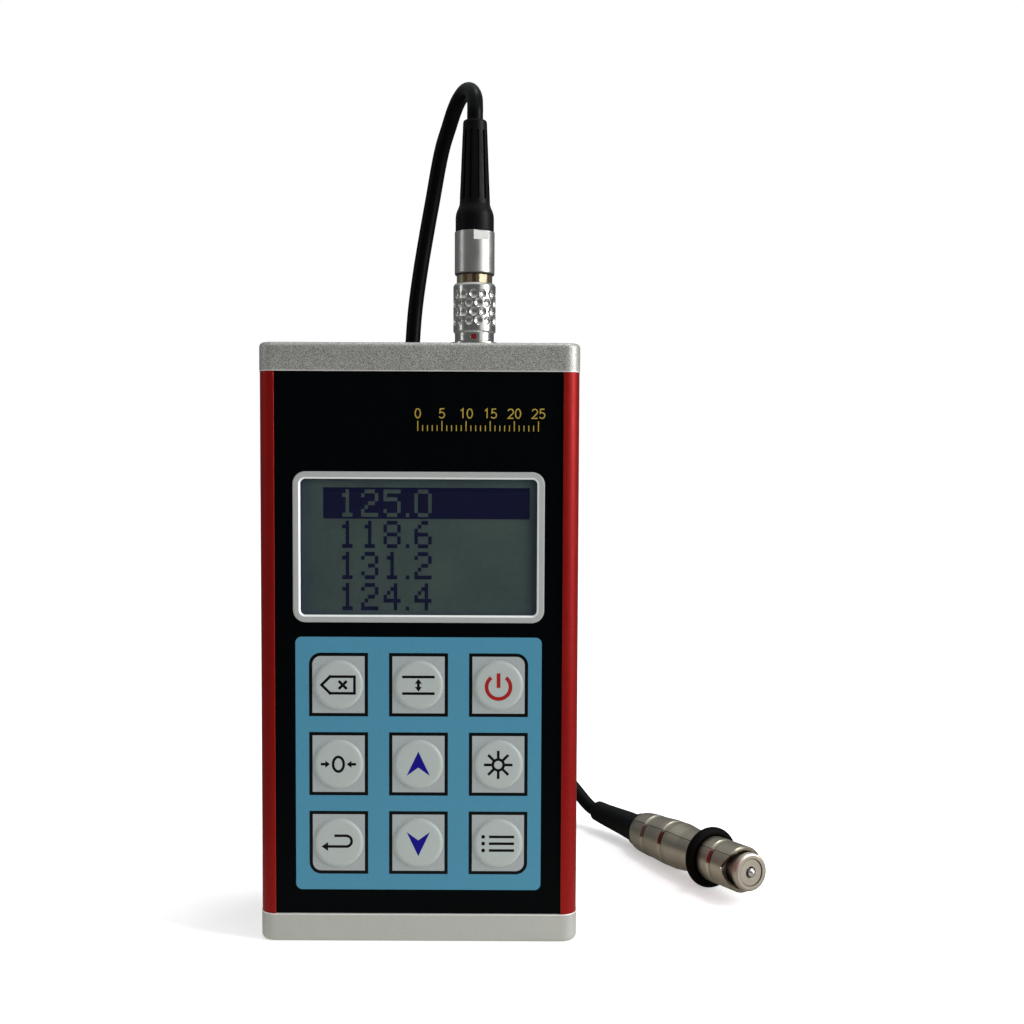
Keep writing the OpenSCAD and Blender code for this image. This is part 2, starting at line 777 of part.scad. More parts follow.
// Moulded bend relief with lengthwise flutes
module plug_boot() {
    flutes = 12;
    root_z = nut_z + spigot_len + gap;
    base_r = nut_r - 0.17;
    tip_r = cable_d / 2 + 0.85;
    waist_r = base_r - 0.85;
    waist_z = boot_z + 6;
    flute_z0 = waist_z + 1;
    flute_len = boot_top - 2.4 - flute_z0;
    taper = atan((waist_r - tip_r) / (boot_top - waist_z));
    color("black") at_plug() difference() {
        rotate_extrude() polygon([
            [0, root_z], [spigot_r, root_z], [spigot_r, boot_z], [base_r, boot_z],
            [base_r, boot_z + 3.2], [base_r - 0.08, boot_z + 3.9], [base_r - 0.3, boot_z + 4.6],
            [waist_r + 0.2, boot_z + 5.4], [waist_r, waist_z], [tip_r, boot_top - 0.5],
            [tip_r - 0.12, boot_top - 0.15], [tip_r - 0.4, boot_top], [0, boot_top]
        ]);
        for (k = [0 : flutes - 1])
            rotate([0, 0, 360 * (k + 0.5) / flutes]) translate([waist_r, 0, flute_z0]) rotate([0, -taper, 0])
                box([-0.4, -0.28, 0], [1, 0.28, flute_len]);
    }
}

// Insulator in the plug's shell
module plug_insert() {
    z0 = nose_z + 2.2 + gap;
    color("whitesmoke") at_plug() difference() {
        translate([0, 0, z0]) cylinder(h = 6, r = cavity_r - fit);
        at_pins() translate([0, 0, z0 - 1]) cylinder(h = 4, r = pin_r + fit);
    }
}

module plug_pins() {
    z0 = nose_z - 0.4;
    color("gold") at_plug() at_pins() translate([0, 0, z0]) cylinder(h = nose_z + 5 - z0, r = pin_r);
}

// Probe and cable

module probe_cable() {
    route = concat([for (a = cable_out) [plug_x, 0, boot_top + a]], cable_route);
    color("black") sweep_tube(route, [for (p = route) cable_d / 2], 8, cable_across);
}

module probe_boot() {
    rear = probe_at - handle_len * probe_dir;
    route = concat([for (a = boot_out) rear - a * probe_dir], boot_route);
    color("black") sweep_tube(route, boot_radii, 20, cable_across);
}

// Cut of a round-nosed tool for a marking groove at place a of a turned piece of radius r
module groove(r, a) {
    rotate_extrude() translate([r - mark_deep + mark_nose, a]) circle(r = mark_nose);
}

// Handle: tapered grip with two marking grooves, the ring's seat, the neck and the spring pocket
module probe_body() {
    groove_1 = -handle_len + mark_1;
    groove_2 = -handle_len + mark_2;
    groove_1_r = handle_r - 0.3;
    front_r = sleeve_r - fit;
    color("darkgray") at_probe() difference() {
        rotate_extrude() polygon([
            [0, -handle_len], [handle_r - 1.15, -handle_len], [handle_r - 0.8, -handle_len + 0.35],
            [heel_r - 0.15, -handle_len + 1.2], [heel_r, heel_a], [groove_1_r, groove_1 - 1.2],
            [groove_1_r, groove_1 + 1.2], [handle_r, groove_2 - 2.4],
            [handle_r, groove_2 + 2.4], [front_r + 0.08, groove_2 + 5.6], [front_r, groove_2 + 6.4],
            [front_r, -seat - 0.2], [front_r - 0.2, -seat],
            [neck_r, -seat], [neck_r, neck_end], [0, neck_end]
        ]);
        groove(groove_1_r, groove_1);
        groove(handle_r, groove_2);
        translate([0, 0, pocket_a]) cylinder(h = neck_end - pocket_a + 1, r = spring_mid + spring_wire + 0.4);
        translate([0, 0, pocket_a - web_t - 1]) cylinder(h = web_t + 2, r = guide_r);
        translate([0, 0, -handle_len + 2]) cylinder(h = handle_len - 2 + pocket_a - web_t, r = front_r - 1.6);
    }
}

module probe_o_ring() {
    color("black") at_probe() rotate_extrude() translate([ring_mid, 0]) circle(r = ring_r);
}

// Sleeve screwed on the neck, with a stop for the head and a V notch across its rim
module probe_sleeve() {
    color("darkgray") at_probe() difference() {
        rotate_extrude() polygon([
            [neck_r + fit, seat], [sleeve_r - 0.25, seat], [sleeve_r, seat + 0.25],
            [sleeve_r, rim - 0.35], [sleeve_r - 0.25, rim], [head_r + loose, rim],
            [head_r + loose, stop_a], [neck_r + fit, stop_a]
        ]);
        groove(sleeve_r, seat + mark_3);
        rotate([0, 0, notch_turn]) rotate([90, 0, 0]) linear_extrude(height = 4 * sleeve_r, center = true)
            polygon([
                [0, rim - notch_deep], [2 * notch_w, rim + notch_deep], [-2 * notch_w, rim + notch_deep]
            ]);
    }
}

// Sprung head: flanged cup with a guide land, a neck, a rounded rim, and a dish round the ball's countersink
module probe_head() {
    dish_r = head_r - 1.25;
    dish = 0.22;
    sink = 0.3;
    sink_a = head_face - dish;
    land_a = rim - notch_deep - loose;
    rim_a = head_face - head_rim_t;
    color("lightgray") at_probe() rotate_extrude() polygon([
        [ball_d / 2 + fit, head_face - face_wall], [coil_bore, head_face - face_wall],
        [coil_bore, stop_a - flange_len - loose], [head_flange_r, stop_a - flange_len - loose],
        [head_flange_r, stop_a - loose], [head_r, stop_a - loose], [head_r, land_a],
        [head_neck_r, land_a + gap], [head_neck_r, rim_a - gap], [head_r, rim_a],
        [head_r, head_face - head_edge], [head_r - 0.15, head_face - 0.15], [head_r - head_edge, head_face],
        [dish_r, head_face], [dish_r - 0.05, sink_a],
        [ball_d / 2 + fit + sink, sink_a], [ball_d / 2 + fit, sink_a - sink]
    ]);
}

// Stem that closes the cup and runs in the handle's web
module probe_stem() {
    a0 = stop_a - flange_len - loose;
    color("silver") at_probe() {
        translate([0, 0, a0]) cylinder(h = plug_len, r = coil_bore - fit);
        translate([0, 0, a0 - stem_len]) cylinder(h = stem_len + eps, r = guide_r - loose);
    }
}

// Iron core behind the ball
module probe_core() {
    a0 = stop_a - flange_len - loose + plug_len;
    color("gray") at_probe()
        translate([0, 0, a0]) cylinder(h = ball_a() - ball_d / 2 - a0, r = ball_d / 2 - fit);
}

// Copper winding on the core
module probe_coil() {
    a0 = stop_a - flange_len - loose + plug_len + loose;
    color("chocolate") at_probe()
        ring(coil_bore - gap, ball_d / 2 + fit, a0, head_face - face_wall - a0 - loose);
}

// Place of the ball's centre on the probe's axis
function ball_a() = head_face - 0.15;

module probe_ball() {
    color("white") at_probe() translate([0, 0, ball_a()]) sphere(r = ball_d / 2);
}

// Spring between the pocket in the handle and the stem's disc
module probe_spring() {
    a0 = pocket_a + spring_wire + fit;
    a1 = stop_a - flange_len - loose - spring_wire - fit;
    route = helix(spring_mid, a0, a1 - a0, spring_turns, 14);
    color("silver") at_probe() sweep_tube(route, [for (p = route) spring_wire], 6, [0, 0, 1]);
}

body_extrusion();
top_cap();
bottom_cap();
top_cap_screws();
bottom_cap_screws();
front_overlay();
display_bezel();
display_window();
for (i = [0 : 8]) key(i);
key_switches();
main_board();
board_chips();
buzzer();
lcd_glass();
lcd_backlight();
battery_holder();
battery_cells();
battery_contacts();
probe_socket();
socket_nut();
socket_insert();
socket_pins();
plug_shell();
plug_sleeve();
plug_dot();
plug_nut();
plug_boot();
plug_insert();
plug_pins();
probe_cable();
probe_boot();
probe_body();
probe_o_ring();
probe_sleeve();
probe_head();
probe_stem();
probe_core();
probe_coil();
probe_ball();
probe_spring();
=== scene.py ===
# Looks of the coating thickness gauge: printed front, keys, display, finishes, lead, light and camera.
import json
import math

import bmesh
import bpy
from mathutils import Matrix, Vector
from mathutils.geometry import delaunay_2d_cdt


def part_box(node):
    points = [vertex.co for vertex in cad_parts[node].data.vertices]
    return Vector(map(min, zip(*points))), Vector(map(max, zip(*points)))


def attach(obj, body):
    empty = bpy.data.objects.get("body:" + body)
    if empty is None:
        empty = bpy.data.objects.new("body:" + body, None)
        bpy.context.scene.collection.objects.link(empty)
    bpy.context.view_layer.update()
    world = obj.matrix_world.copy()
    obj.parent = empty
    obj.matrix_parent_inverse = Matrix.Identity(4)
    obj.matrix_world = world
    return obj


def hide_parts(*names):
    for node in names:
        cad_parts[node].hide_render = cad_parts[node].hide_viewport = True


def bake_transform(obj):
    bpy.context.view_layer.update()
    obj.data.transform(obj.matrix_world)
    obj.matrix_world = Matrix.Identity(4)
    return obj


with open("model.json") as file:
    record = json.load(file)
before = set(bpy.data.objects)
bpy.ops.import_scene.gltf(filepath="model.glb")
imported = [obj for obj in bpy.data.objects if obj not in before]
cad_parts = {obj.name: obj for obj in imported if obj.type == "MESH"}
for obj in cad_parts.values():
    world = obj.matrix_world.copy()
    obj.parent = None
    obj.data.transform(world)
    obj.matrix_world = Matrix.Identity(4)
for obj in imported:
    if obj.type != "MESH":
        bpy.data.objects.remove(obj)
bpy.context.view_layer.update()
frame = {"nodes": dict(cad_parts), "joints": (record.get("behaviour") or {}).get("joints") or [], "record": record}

# Meshes are worked out in millimetres of the CAD frame: +X right, -Y towards the viewer, +Z up.
MM = 0.001
scene = bpy.context.scene

# Lowest and highest corner of every CAD node, in millimetres
BOXES = {name: [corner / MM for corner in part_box(name)] for name in frame["nodes"]}


def low(node):
    """Lowest corner of a CAD node, in millimetres."""
    return BOXES[node][0]


def high(node):
    """Highest corner of a CAD node, in millimetres."""
    return BOXES[node][1]


def middle(node):
    """Centre of a CAD node's box, in millimetres."""
    return (low(node) + high(node)) / 2


# Places read from the frame
KEY_NODES = [n for n in frame["record"]["behaviour"]["bodies"] if n.startswith("key_")]
FILM_FRONT = low("front_overlay").y
FILM_BACK = high("front_overlay").y
DISPLAY = middle("display_bezel")
KEYPAD = middle("key_up")
PLUG_X = middle("plug_nut").x

# Corner radius of the display's pane
PANE_R = 1.0

# The probe's axis comes from its press joint, and its middle from the rubber ring
PRESS = next(j for j in frame["joints"] if j["name"] == "probe_press")
PROBE_DIR = -Vector(PRESS["axis"]).normalized()
PROBE_AT = middle("probe_o_ring")
PROBE_LEFT = Vector((0, 0, 1)).cross(PROBE_DIR).normalized() * -1
PROBE_UP = PROBE_LEFT.cross(PROBE_DIR).normalized()
if PROBE_UP.z < 0:
    PROBE_UP.negate()


def probe_span(node):
    """Back and front end of a probe piece along the axis, in millimetres from the ring's middle."""
    places = [(v.co / MM - PROBE_AT).dot(PROBE_DIR) for v in frame["nodes"][node].data.vertices]
    return min(places), max(places)


# Front ends of the probe's sleeve and of its head, along the axis
RIM = probe_span("probe_sleeve")[1]
FACE = probe_span("probe_head")[1]


# Camera

CAMERA_AT = Vector((19.4, -265.5, 103.0))
CAMERA_DOWN = math.radians(2.75)
CAMERA_ROLL = math.radians(0.26)
CAMERA_LENS = 42.4


def make_camera():
    data = bpy.data.cameras.new("camera")
    data.lens = CAMERA_LENS
    data.sensor_width = 36
    data.clip_start = 0.01
    camera = bpy.data.objects.new("camera", data)
    turn = Matrix.Rotation(math.pi / 2 - CAMERA_DOWN, 4, "X") @ Matrix.Rotation(CAMERA_ROLL, 4, "Z")
    camera.matrix_world = Matrix.Translation(CAMERA_AT * MM) @ turn
    scene.collection.objects.link(camera)
    scene.camera = camera


# Mesh tools

def build(name, points, faces, finishes, body=None, regions=None, sharp=35):
    """A piece from points in millimetres. regions gives the number of each face's finish."""
    mesh = bpy.data.meshes.new(name)
    mesh.from_pydata([Vector(p) * MM for p in points], [], faces)
    if regions:
        mesh.polygons.foreach_set("material_index", regions)
    mesh.polygons.foreach_set("use_smooth", [True] * len(faces))
    work = bmesh.new()
    work.from_mesh(mesh)
    bmesh.ops.remove_doubles(work, verts=work.verts, dist=1e-7)
    bmesh.ops.dissolve_degenerate(work, edges=work.edges, dist=1e-8)
    bmesh.ops.recalc_face_normals(work, faces=work.faces)
    work.to_mesh(mesh)
    work.free()
    mesh.set_sharp_from_angle(angle=math.radians(sharp))
    for finish in finishes:
        mesh.materials.append(finish)
    piece = bpy.data.objects.new(name, mesh)
    scene.collection.objects.link(piece)
    if body:
        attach(piece, body)
    return piece


def rounded_outline(w, h, r, steps=10):
    """Points round a rectangle with round corners, centred on the origin."""
    corners = [(1, 1, 0), (-1, 1, 90), (-1, -1, 180), (1, -1, 270)]
    points = []
    for sx, sy, start in corners:
        for k in range(steps + 1):
            a = math.radians(start + 90 * k / steps)
            points.append((sx * (w / 2 - r) + r * math.cos(a), sy * (h / 2 - r) + r * math.sin(a)))
    return points


def circle(x, y, r, steps=64):
    return [(x + r * math.cos(2 * math.pi * k / steps), y + r * math.sin(2 * math.pi * k / steps))
            for k in range(steps)]


def moved(loop, x, y):
    return [(px + x, py + y) for px, py in loop]


def loft(rings):
    """Points and faces that join equal rings one after another."""
    count = len(rings[0])
    points = [p for ring in rings for p in ring]
    starts = range(0, len(points) - count, count)
    faces = [(a + k, a + (k + 1) % count, a + count + (k + 1) % count, a + count + k)
             for a in starts for k in range(count)]
    return points, faces


def fill(loops, region_of):
    """Triangles of a plane cut along the loops.

    region_of(x, y) gives the number of a triangle's finish, or None where the plane is open.
    """
    points, edges = [], []
    for loop in loops:
        first = len(points)
        points += [Vector(p) for p in loop]
        edges += [(first + k, first + (k + 1) % len(loop)) for k in range(len(loop))]
    points, _, triangles, *_ = delaunay_2d_cdt(points, edges, [], 0, 1e-6)
    faces, regions = [], []
    for t in triangles:
        centre = sum((points[i] for i in t), Vector((0, 0))) / len(t)
        region = region_of(centre.x, centre.y)
        if region is not None:
            faces.append(tuple(t))
            regions.append(region)
    return [tuple(p) for p in points], faces, regions


def in_loop(x, y, loop):
    """True inside a closed loop of points."""
    inside = False
    for (ax, ay), (bx, by) in zip(loop, loop[1:] + loop[:1]):
        if (ay > y) != (by > y) and x < ax + (y - ay) * (bx - ax) / (by - ay):
            inside = not inside
    return inside


def in_any(x, y, loops):
    """True inside one of the loops."""
    return any(in_loop(x, y, loop) for loop in loops)


def thicken(points, faces, regions, front, back):
    """A closed sheet from triangles in the X-Z plane; its back and the walls of its edges take finish 0."""
    count = len(points)
    solid = [(x, front, z) for x, z in points] + [(x, back, z) for x, z in points]
    sides = [side for f in faces for side in zip(f, f[1:] + f[:1])]
    known = set(sides)
    walls = [(a, b, b + count, a + count) for a, b in sides if (b, a) not in known]
    backs = [tuple(i + count for i in reversed(f)) for f in faces]
    return solid, faces + backs + walls, regions + [0] * (len(backs) + len(walls))


def smooth_path(points, steps):
    """A smooth curve through points, with steps stretches between each two."""
    p = [Vector(q) for q in points]
    p = [2 * p[0] - p[1]] + p + [2 * p[-1] - p[-2]]
    path = []
    for i in range(1, len(p) - 2):
        for k in range(steps):
            t = k / steps
            a = 2 * p[i]
            b = (p[i + 1] - p[i - 1]) * t
            c = (2 * p[i - 1] - 5 * p[i] + 4 * p[i + 1] - p[i + 2]) * t * t
            d = (3 * p[i] - p[i - 1] - 3 * p[i + 1] + p[i + 2]) * t ** 3
            path.append((a + b + c + d) / 2)
    return path + [p[-2]]


def tube(path, radii, sides):
    """Points and faces of a closed round tube along a path."""
    rings = []
    across = Vector((1, 0.2, 0))
    for i, at in enumerate(path):
        along = (path[min(i + 1, len(path) - 1)] - path[max(i - 1, 0)]).normalized()
        across = (across - along * across.dot(along)).normalized()
        other = along.cross(across)
        rings.append([at + radii[i] * (math.cos(a) * across + math.sin(a) * other)
                      for a in (2 * math.pi * k / sides for k in range(sides))])
    points, faces = loft(rings)
    last = len(points) - sides
    faces += [tuple(range(sides)), tuple(range(last, last + sides))]
    return points, faces


# Shader nodes

def srgb(*levels):
    """Linear colour of three 0-255 levels."""
    channels = [v / 255 for v in levels]
    return tuple(c / 12.92 if c <= 0.04045 else ((c + 0.055) / 1.055) ** 2.4 for c in channels) + (1.0,)


def put(tree, kind, inputs=None, **settings):
    """A node with its settings, and its inputs set to values or joined to other nodes' outputs."""
    made = tree.nodes.new(kind)
    for label, value in settings.items():
        setattr(made, label, value)
    for label, value in (inputs or {}).items():
        if isinstance(value, bpy.types.NodeSocket):
            tree.links.new(value, made.inputs[label])
        else:
            made.inputs[label].default_value = value
    return made


def calc(tree, operation, *values, clamp=False):
    """Output of a Math node."""
    made = put(tree, "ShaderNodeMath", dict(enumerate(values)), operation=operation, use_clamp=clamp)
    return made.outputs[0]


def dot(tree, a, b):
    """Output of the dot product of two vectors."""
    made = put(tree, "ShaderNodeVectorMath", {0: a, 1: b}, operation="DOT_PRODUCT")
    return made.outputs["Value"]


def axes_of(tree, vector):
    """Outputs X, Y and Z of a vector."""
    return put(tree, "ShaderNodeSeparateXYZ", {"Vector": vector}).outputs


def hypotenuse(tree, a, b):
    """Output of the root of two values' squares added."""
    square = calc(tree, "ADD", calc(tree, "MULTIPLY", a, a), calc(tree, "MULTIPLY", b, b))
    return calc(tree, "SQRT", square)


def blend(tree, factor, a, b):
    """Colour between a and b."""
    made = put(tree, "ShaderNodeMix", data_type="RGBA")
    for label, value in (("Factor", factor), ("A", a), ("B", b)):
        kind = "VALUE" if label == "Factor" else "RGBA"
        socket = next(s for s in made.inputs if s.name == label and s.type == kind)
        if isinstance(value, bpy.types.NodeSocket):
            tree.links.new(value, socket)
        else:
            socket.default_value = value
    return next(s for s in made.outputs if s.type == "RGBA")


def spread(tree, value, start, end):
    """A value from 0 to 1 brought to the range from start to end."""
    made = put(tree, "ShaderNodeMapRange", {"Value": value, "To Min": start, "To Max": end})
    return made.outputs["Result"]


def soft_band(tree, value, centre, half, soft):
    """Mask that is 1 where a value lies within a half width of a centre, less a soft margin."""
    off = calc(tree, "ABSOLUTE", calc(tree, "SUBTRACT", value, centre))
    return calc(tree, "DIVIDE", calc(tree, "SUBTRACT", half, off), soft, clamp=True)


# Shader groups

CLOUD_SHARE = 0.035
NOISE_LOW, NOISE_HIGH = 0.3, 0.7
EDGE_GAIN = 5.0
# Width and soft margin of the painted highlight on the caps' chamfers
CHAMFER_LINE, CHAMFER_SOFT = 0.18, 0.05


def new_group(name, inputs, outputs):
    group = bpy.data.node_groups.new(name, "ShaderNodeTree")
    for label, kind in inputs:
        group.interface.new_socket(label, in_out="INPUT", socket_type="NodeSocket" + kind)
    for label, kind in outputs:
        group.interface.new_socket(label, in_out="OUTPUT", socket_type="NodeSocket" + kind)
    return group, group.nodes.new("NodeGroupInput").outputs, group.nodes.new("NodeGroupOutput").inputs


def make_speckle():
    """Fine grain and broad clouds, by the size of the grain in metres."""
    tree, given, result = new_group(
        "speckle", [("Vector", "Vector"), ("Size", "Float")], [("Grain", "Float"), ("Cloud", "Float")])
    scale = calc(tree, "DIVIDE", 1.0, given["Size"])
    fine = put(tree, "ShaderNodeTexNoise", {"Vector": given["Vector"], "Scale": scale, "Detail": 2.0})
    wide = calc(tree, "MULTIPLY", scale, CLOUD_SHARE)
    broad = put(tree, "ShaderNodeTexNoise", {"Vector": given["Vector"], "Scale": wide, "Detail": 3.0})
    for noise, label in ((fine, "Grain"), (broad, "Cloud")):
        stretched = put(tree, "ShaderNodeMapRange",
                        {"Value": noise.outputs[0], "From Min": NOISE_LOW, "From Max": NOISE_HIGH})
        tree.links.new(stretched.outputs["Result"], result[label])
    return tree


def make_fine_lines():
    """Tool marks across a direction, whose length is the number of lines in a metre."""
    tree, given, result = new_group(
        "fine_lines", [("Vector", "Vector"), ("Direction", "Vector")], [("Lines", "Float")])
    along = dot(tree, given["Vector"], given["Direction"])
    noise = put(tree, "ShaderNodeTexNoise", {"W": along, "Scale": 1.0, "Detail": 4.0}, noise_dimensions="1D")
    tree.links.new(noise.outputs[0], result["Lines"])
    return tree


def make_edge_wear():
    """Rounded normals along edges, and a mask of the edges for worn edges and a painted highlight along them, by
    the width of the rounding in metres.
    """
    tree, given, result = new_group(
        "worn_highlit_edges", [("Width", "Float")], [("Edge", "Float"), ("Normal", "Vector")])
    round_edge = put(tree, "ShaderNodeBevel", {"Radius": given["Width"]}, samples=6)
    true_normal = put(tree, "ShaderNodeNewGeometry").outputs["Normal"]
    turned = calc(tree, "SUBTRACT", 1.0, dot(tree, round_edge.outputs[0], true_normal))
    tree.links.new(calc(tree, "MULTIPLY", turned, EDGE_GAIN, clamp=True), result["Edge"])
    tree.links.new(round_edge.outputs[0], result["Normal"])
    return tree


def make_band():
    """Mask that is 1 where a value lies within a half width of a centre, less a soft margin."""
    tree, given, result = new_group(
        "band", [("Value", "Float"), ("Centre", "Float"), ("Half Width", "Float"), ("Soft", "Float")],
        [("Mask", "Float")])
    mask = soft_band(tree, given["Value"], given["Centre"], given["Half Width"], given["Soft"])
    tree.links.new(mask, result["Mask"])
    return tree


def make_probe_place():
    """Place along the probe's axis, turn about it and distance from it."""
    tree, given, result = new_group(
        "probe_place", [("Vector", "Vector")], [("Along", "Float"), ("Turn", "Float"), ("Radius", "Float")])
    shift = put(tree, "ShaderNodeVectorMath", {0: given["Vector"], 1: PROBE_AT * MM}, operation="SUBTRACT")
    off = shift.outputs[0]
    left, up = dot(tree, off, PROBE_LEFT), dot(tree, off, PROBE_UP)
    tree.links.new(dot(tree, off, PROBE_DIR), result["Along"])
    tree.links.new(calc(tree, "ARCTAN2", left, up), result["Turn"])
    tree.links.new(hypotenuse(tree, left, up), result["Radius"])
    return tree


def make_cap_chamfer():
    """Mask of the caps' chamfers beside the housing, where a highlight is painted."""
    tree, given, result = new_group("cap_chamfer", [("Vector", "Vector")], [("Mask", "Float")])
    height = axes_of(tree, given["Vector"])["Z"]
    centres = (low("body_extrusion").z - CHAMFER_LINE / 2, high("body_extrusion").z + CHAMFER_LINE / 2)
    half = CHAMFER_LINE / 2 + CHAMFER_SOFT
    masks = [soft_band(tree, height, at * MM, half * MM, CHAMFER_SOFT * MM) for at in centres]
    tree.links.new(calc(tree, "MAXIMUM", *masks), result["Mask"])
    return tree


SPECKLE = make_speckle()
FINE_LINES = make_fine_lines()
WORN_HIGHLIT_EDGES = make_edge_wear()
BAND = make_band()
PROBE_PLACE = make_probe_place()
CAP_CHAMFER = make_cap_chamfer()


def use(tree, group, **inputs):
    """Places a shader group; an underscore in an input's name stands for a space."""
    values = {label.replace("_", " "): value for label, value in inputs.items()}
    return put(tree, "ShaderNodeGroup", values, node_tree=group)


# Finishes

def finish(name, light, dark, rough, grain=0.3, relief=0.004, lines=None, lines_relief=0.002,
           edge=None, mark=None, metallic=0.0, **constants):
    """A material of two tones of grain. Sizes are in millimetres.

    rough is the lowest and highest roughness, lines the direction and number of tool marks in a millimetre,
    edge the colour and width of the worn edges, which also carry a painted highlight, mark a function that paints
    over the base colour.
    """
    material = bpy.data.materials.new(name)
    material.use_nodes = True
    tree = material.node_tree
    shader = tree.nodes["Principled BSDF"]
    shader.inputs["Metallic"].default_value = metallic
    for label, value in constants.items():
        shader.inputs[label.replace("_", " ")].default_value = value
    place = put(tree, "ShaderNodeTexCoord").outputs["Object"]
    speckle = use(tree, SPECKLE, Vector=place, Size=grain * MM)
    color = blend(tree, speckle.outputs["Grain"], srgb(*dark), srgb(*light))
    height = calc(tree, "MULTIPLY", speckle.outputs["Grain"], relief * MM)
    if lines:
        marks = use(tree, FINE_LINES, Vector=place, Direction=Vector(lines) / MM)
        height = calc(tree, "MULTIPLY_ADD", marks.outputs["Lines"], lines_relief * MM, height)
    bump = put(tree, "ShaderNodeBump", {"Strength": 1.0, "Distance": 1.0, "Height": height})
    if edge:
        # Worn edges, lightened in part as a painted highlight
        wear = use(tree, WORN_HIGHLIT_EDGES, Width=edge[1] * MM)
        color = blend(tree, wear.outputs["Edge"], color, srgb(*edge[0]))
        tree.links.new(wear.outputs["Normal"], bump.inputs["Normal"])
    if mark:
        color = mark(tree, place, color)
    tree.links.new(color, shader.inputs["Base Color"])
    tree.links.new(spread(tree, speckle.outputs["Cloud"], *rough), shader.inputs["Roughness"])
    tree.links.new(bump.outputs["Normal"], shader.inputs["Normal"])
    return material


def band(tree, value, start, end, soft):
    """Mask of the values from start to end, in millimetres, with soft ends outside them."""
    half = (end - start) / 2 + soft
    made = use(tree, BAND, Value=value, Centre=(start + end) / 2 * MM, Half_Width=half * MM, Soft=soft * MM)
    return made.outputs["Mask"]


# Marks and painted shade on the probe: places along its axis in millimetres from the ring's middle, turns in
# radians
SCRIBE_TURN, SCRIBE_HALF, SCRIBE_SOFT = math.radians(45), 0.018, 0.008
ENAMEL_FROM, ENAMEL_TO, ENAMEL_SOFT = math.radians(46), math.radians(84), 0.06
ENAMELS = ((-22.4, (132, 98, 92)), (-14.0, (110, 68, 64)), (6.0, (128, 82, 78)))
GROOVE_HALF, GROOVE_SOFT = 0.7, 0.16
# Reach of the painted shade in the notch, and width of the painted shade on the rim
NOTCH_START, NOTCH_R = 7, 4.9
RIM_EDGE = 0.34
# Reach of the painted shade on the head's neck and round the ball, and of the darker ring in the dish's step
NECK_R, NECK_BEHIND_FACE, NECK_SOFT = 4.0, 3.6, 2.4
DISH_STEP_R = (2.98, 3.1)
BALL_SEAT_R = 1.28


def probe_marks(tree, place, color):
    """The scribed line along the probe, the worn enamel in its grooves, painted shade on the walls of the notch
    and painted shade on the sleeve's rim chamfer that dims its highlight.
    """
    at = use(tree, PROBE_PLACE, Vector=place).outputs
    scribe = use(tree, BAND, Value=at["Turn"], Centre=SCRIBE_TURN, Half_Width=SCRIBE_HALF, Soft=SCRIBE_SOFT)
    color = blend(tree, scribe.outputs["Mask"], color, srgb(38, 34, 30))
    sector = use(tree, BAND, Value=at["Turn"], Centre=(ENAMEL_FROM + ENAMEL_TO) / 2,
                 Half_Width=(ENAMEL_TO - ENAMEL_FROM) / 2, Soft=ENAMEL_SOFT)
    for groove, enamel in ENAMELS:
        ring = band(tree, at["Along"], groove - GROOVE_HALF, groove + GROOVE_HALF, GROOVE_SOFT)
        painted = calc(tree, "MULTIPLY", ring, sector.outputs["Mask"])
        color = blend(tree, painted, color, srgb(*enamel))
    # Painted shade on the walls and inside of the notch
    inside = band(tree, at["Radius"], 0, NOTCH_R, 0.1)
    notch = band(tree, at["Along"], NOTCH_START, RIM - 0.1, 0.05)
    color = blend(tree, calc(tree, "MULTIPLY", inside, notch), color, srgb(112, 102, 92))
    # Painted shade on the rim's chamfer, dimming its highlight
    rim = band(tree, at["Along"], RIM - RIM_EDGE, RIM + 0.5, 0.05)
    return blend(tree, rim, color, srgb(150, 143, 129))


def head_marks(tree, place, color):
    """Painted shade on the neck of the probe's head behind its disc and round the ball, and a darker ring in the
    dish's step.
    """
    at = use(tree, PROBE_PLACE, Vector=place).outputs
    # Painted shade on the neck behind the head's disc
    inside = band(tree, at["Radius"], 0, NECK_R, 0.15)
    behind = band(tree, at["Along"], NOTCH_START, FACE - NECK_BEHIND_FACE, NECK_SOFT)
    color = blend(tree, calc(tree, "MULTIPLY", inside, behind), color, srgb(126, 116, 106))
    color = blend(tree, band(tree, at["Radius"], *DISH_STEP_R, 0.08), color, srgb(84, 78, 70))
    # Painted shade round the ball
    return blend(tree, band(tree, at["Radius"], 0, BALL_SEAT_R, 0.1), color, srgb(110, 103, 94))


def display_bands(tree, place, color):
    """Broad upright bands and soft clouds of a liquid crystal seen at an angle, bluer towards its rim."""
    bands_per_mm = 0.16
    cloud_grain = 0.55
    rim_x, rim_z = 5, 4
    bands = use(tree, FINE_LINES, Vector=place, Direction=Vector((bands_per_mm, 0, 0)) / MM)
    color = blend(tree, spread(tree, bands.outputs["Lines"], 0.0, 0.5), color, srgb(46, 54, 64))
    cloud = use(tree, SPECKLE, Vector=place, Size=cloud_grain * MM)
    color = blend(tree, spread(tree, cloud.outputs["Cloud"], 0.0, 0.5), color, srgb(74, 88, 80))
    axes = axes_of(tree, place)
    half = (high("lcd_glass") - low("lcd_glass")) / 2 - Vector((rim_x, 0, rim_z))
    inner_x = band(tree, axes["X"], DISPLAY.x - half.x, DISPLAY.x + half.x, rim_x - 1)
    inner_z = band(tree, axes["Z"], DISPLAY.z - half.z, DISPLAY.z + half.z, rim_z - 1)
    return blend(tree, calc(tree, "MULTIPLY", inner_x, inner_z), srgb(48, 56, 70), color)


def cap_edges(tree, place, color):
    """Painted highlight on the caps' chamfers beside the housing."""
    chamfer = use(tree, CAP_CHAMFER, Vector=place)
    return blend(tree, chamfer.outputs["Mask"], color, srgb(236, 236, 232))


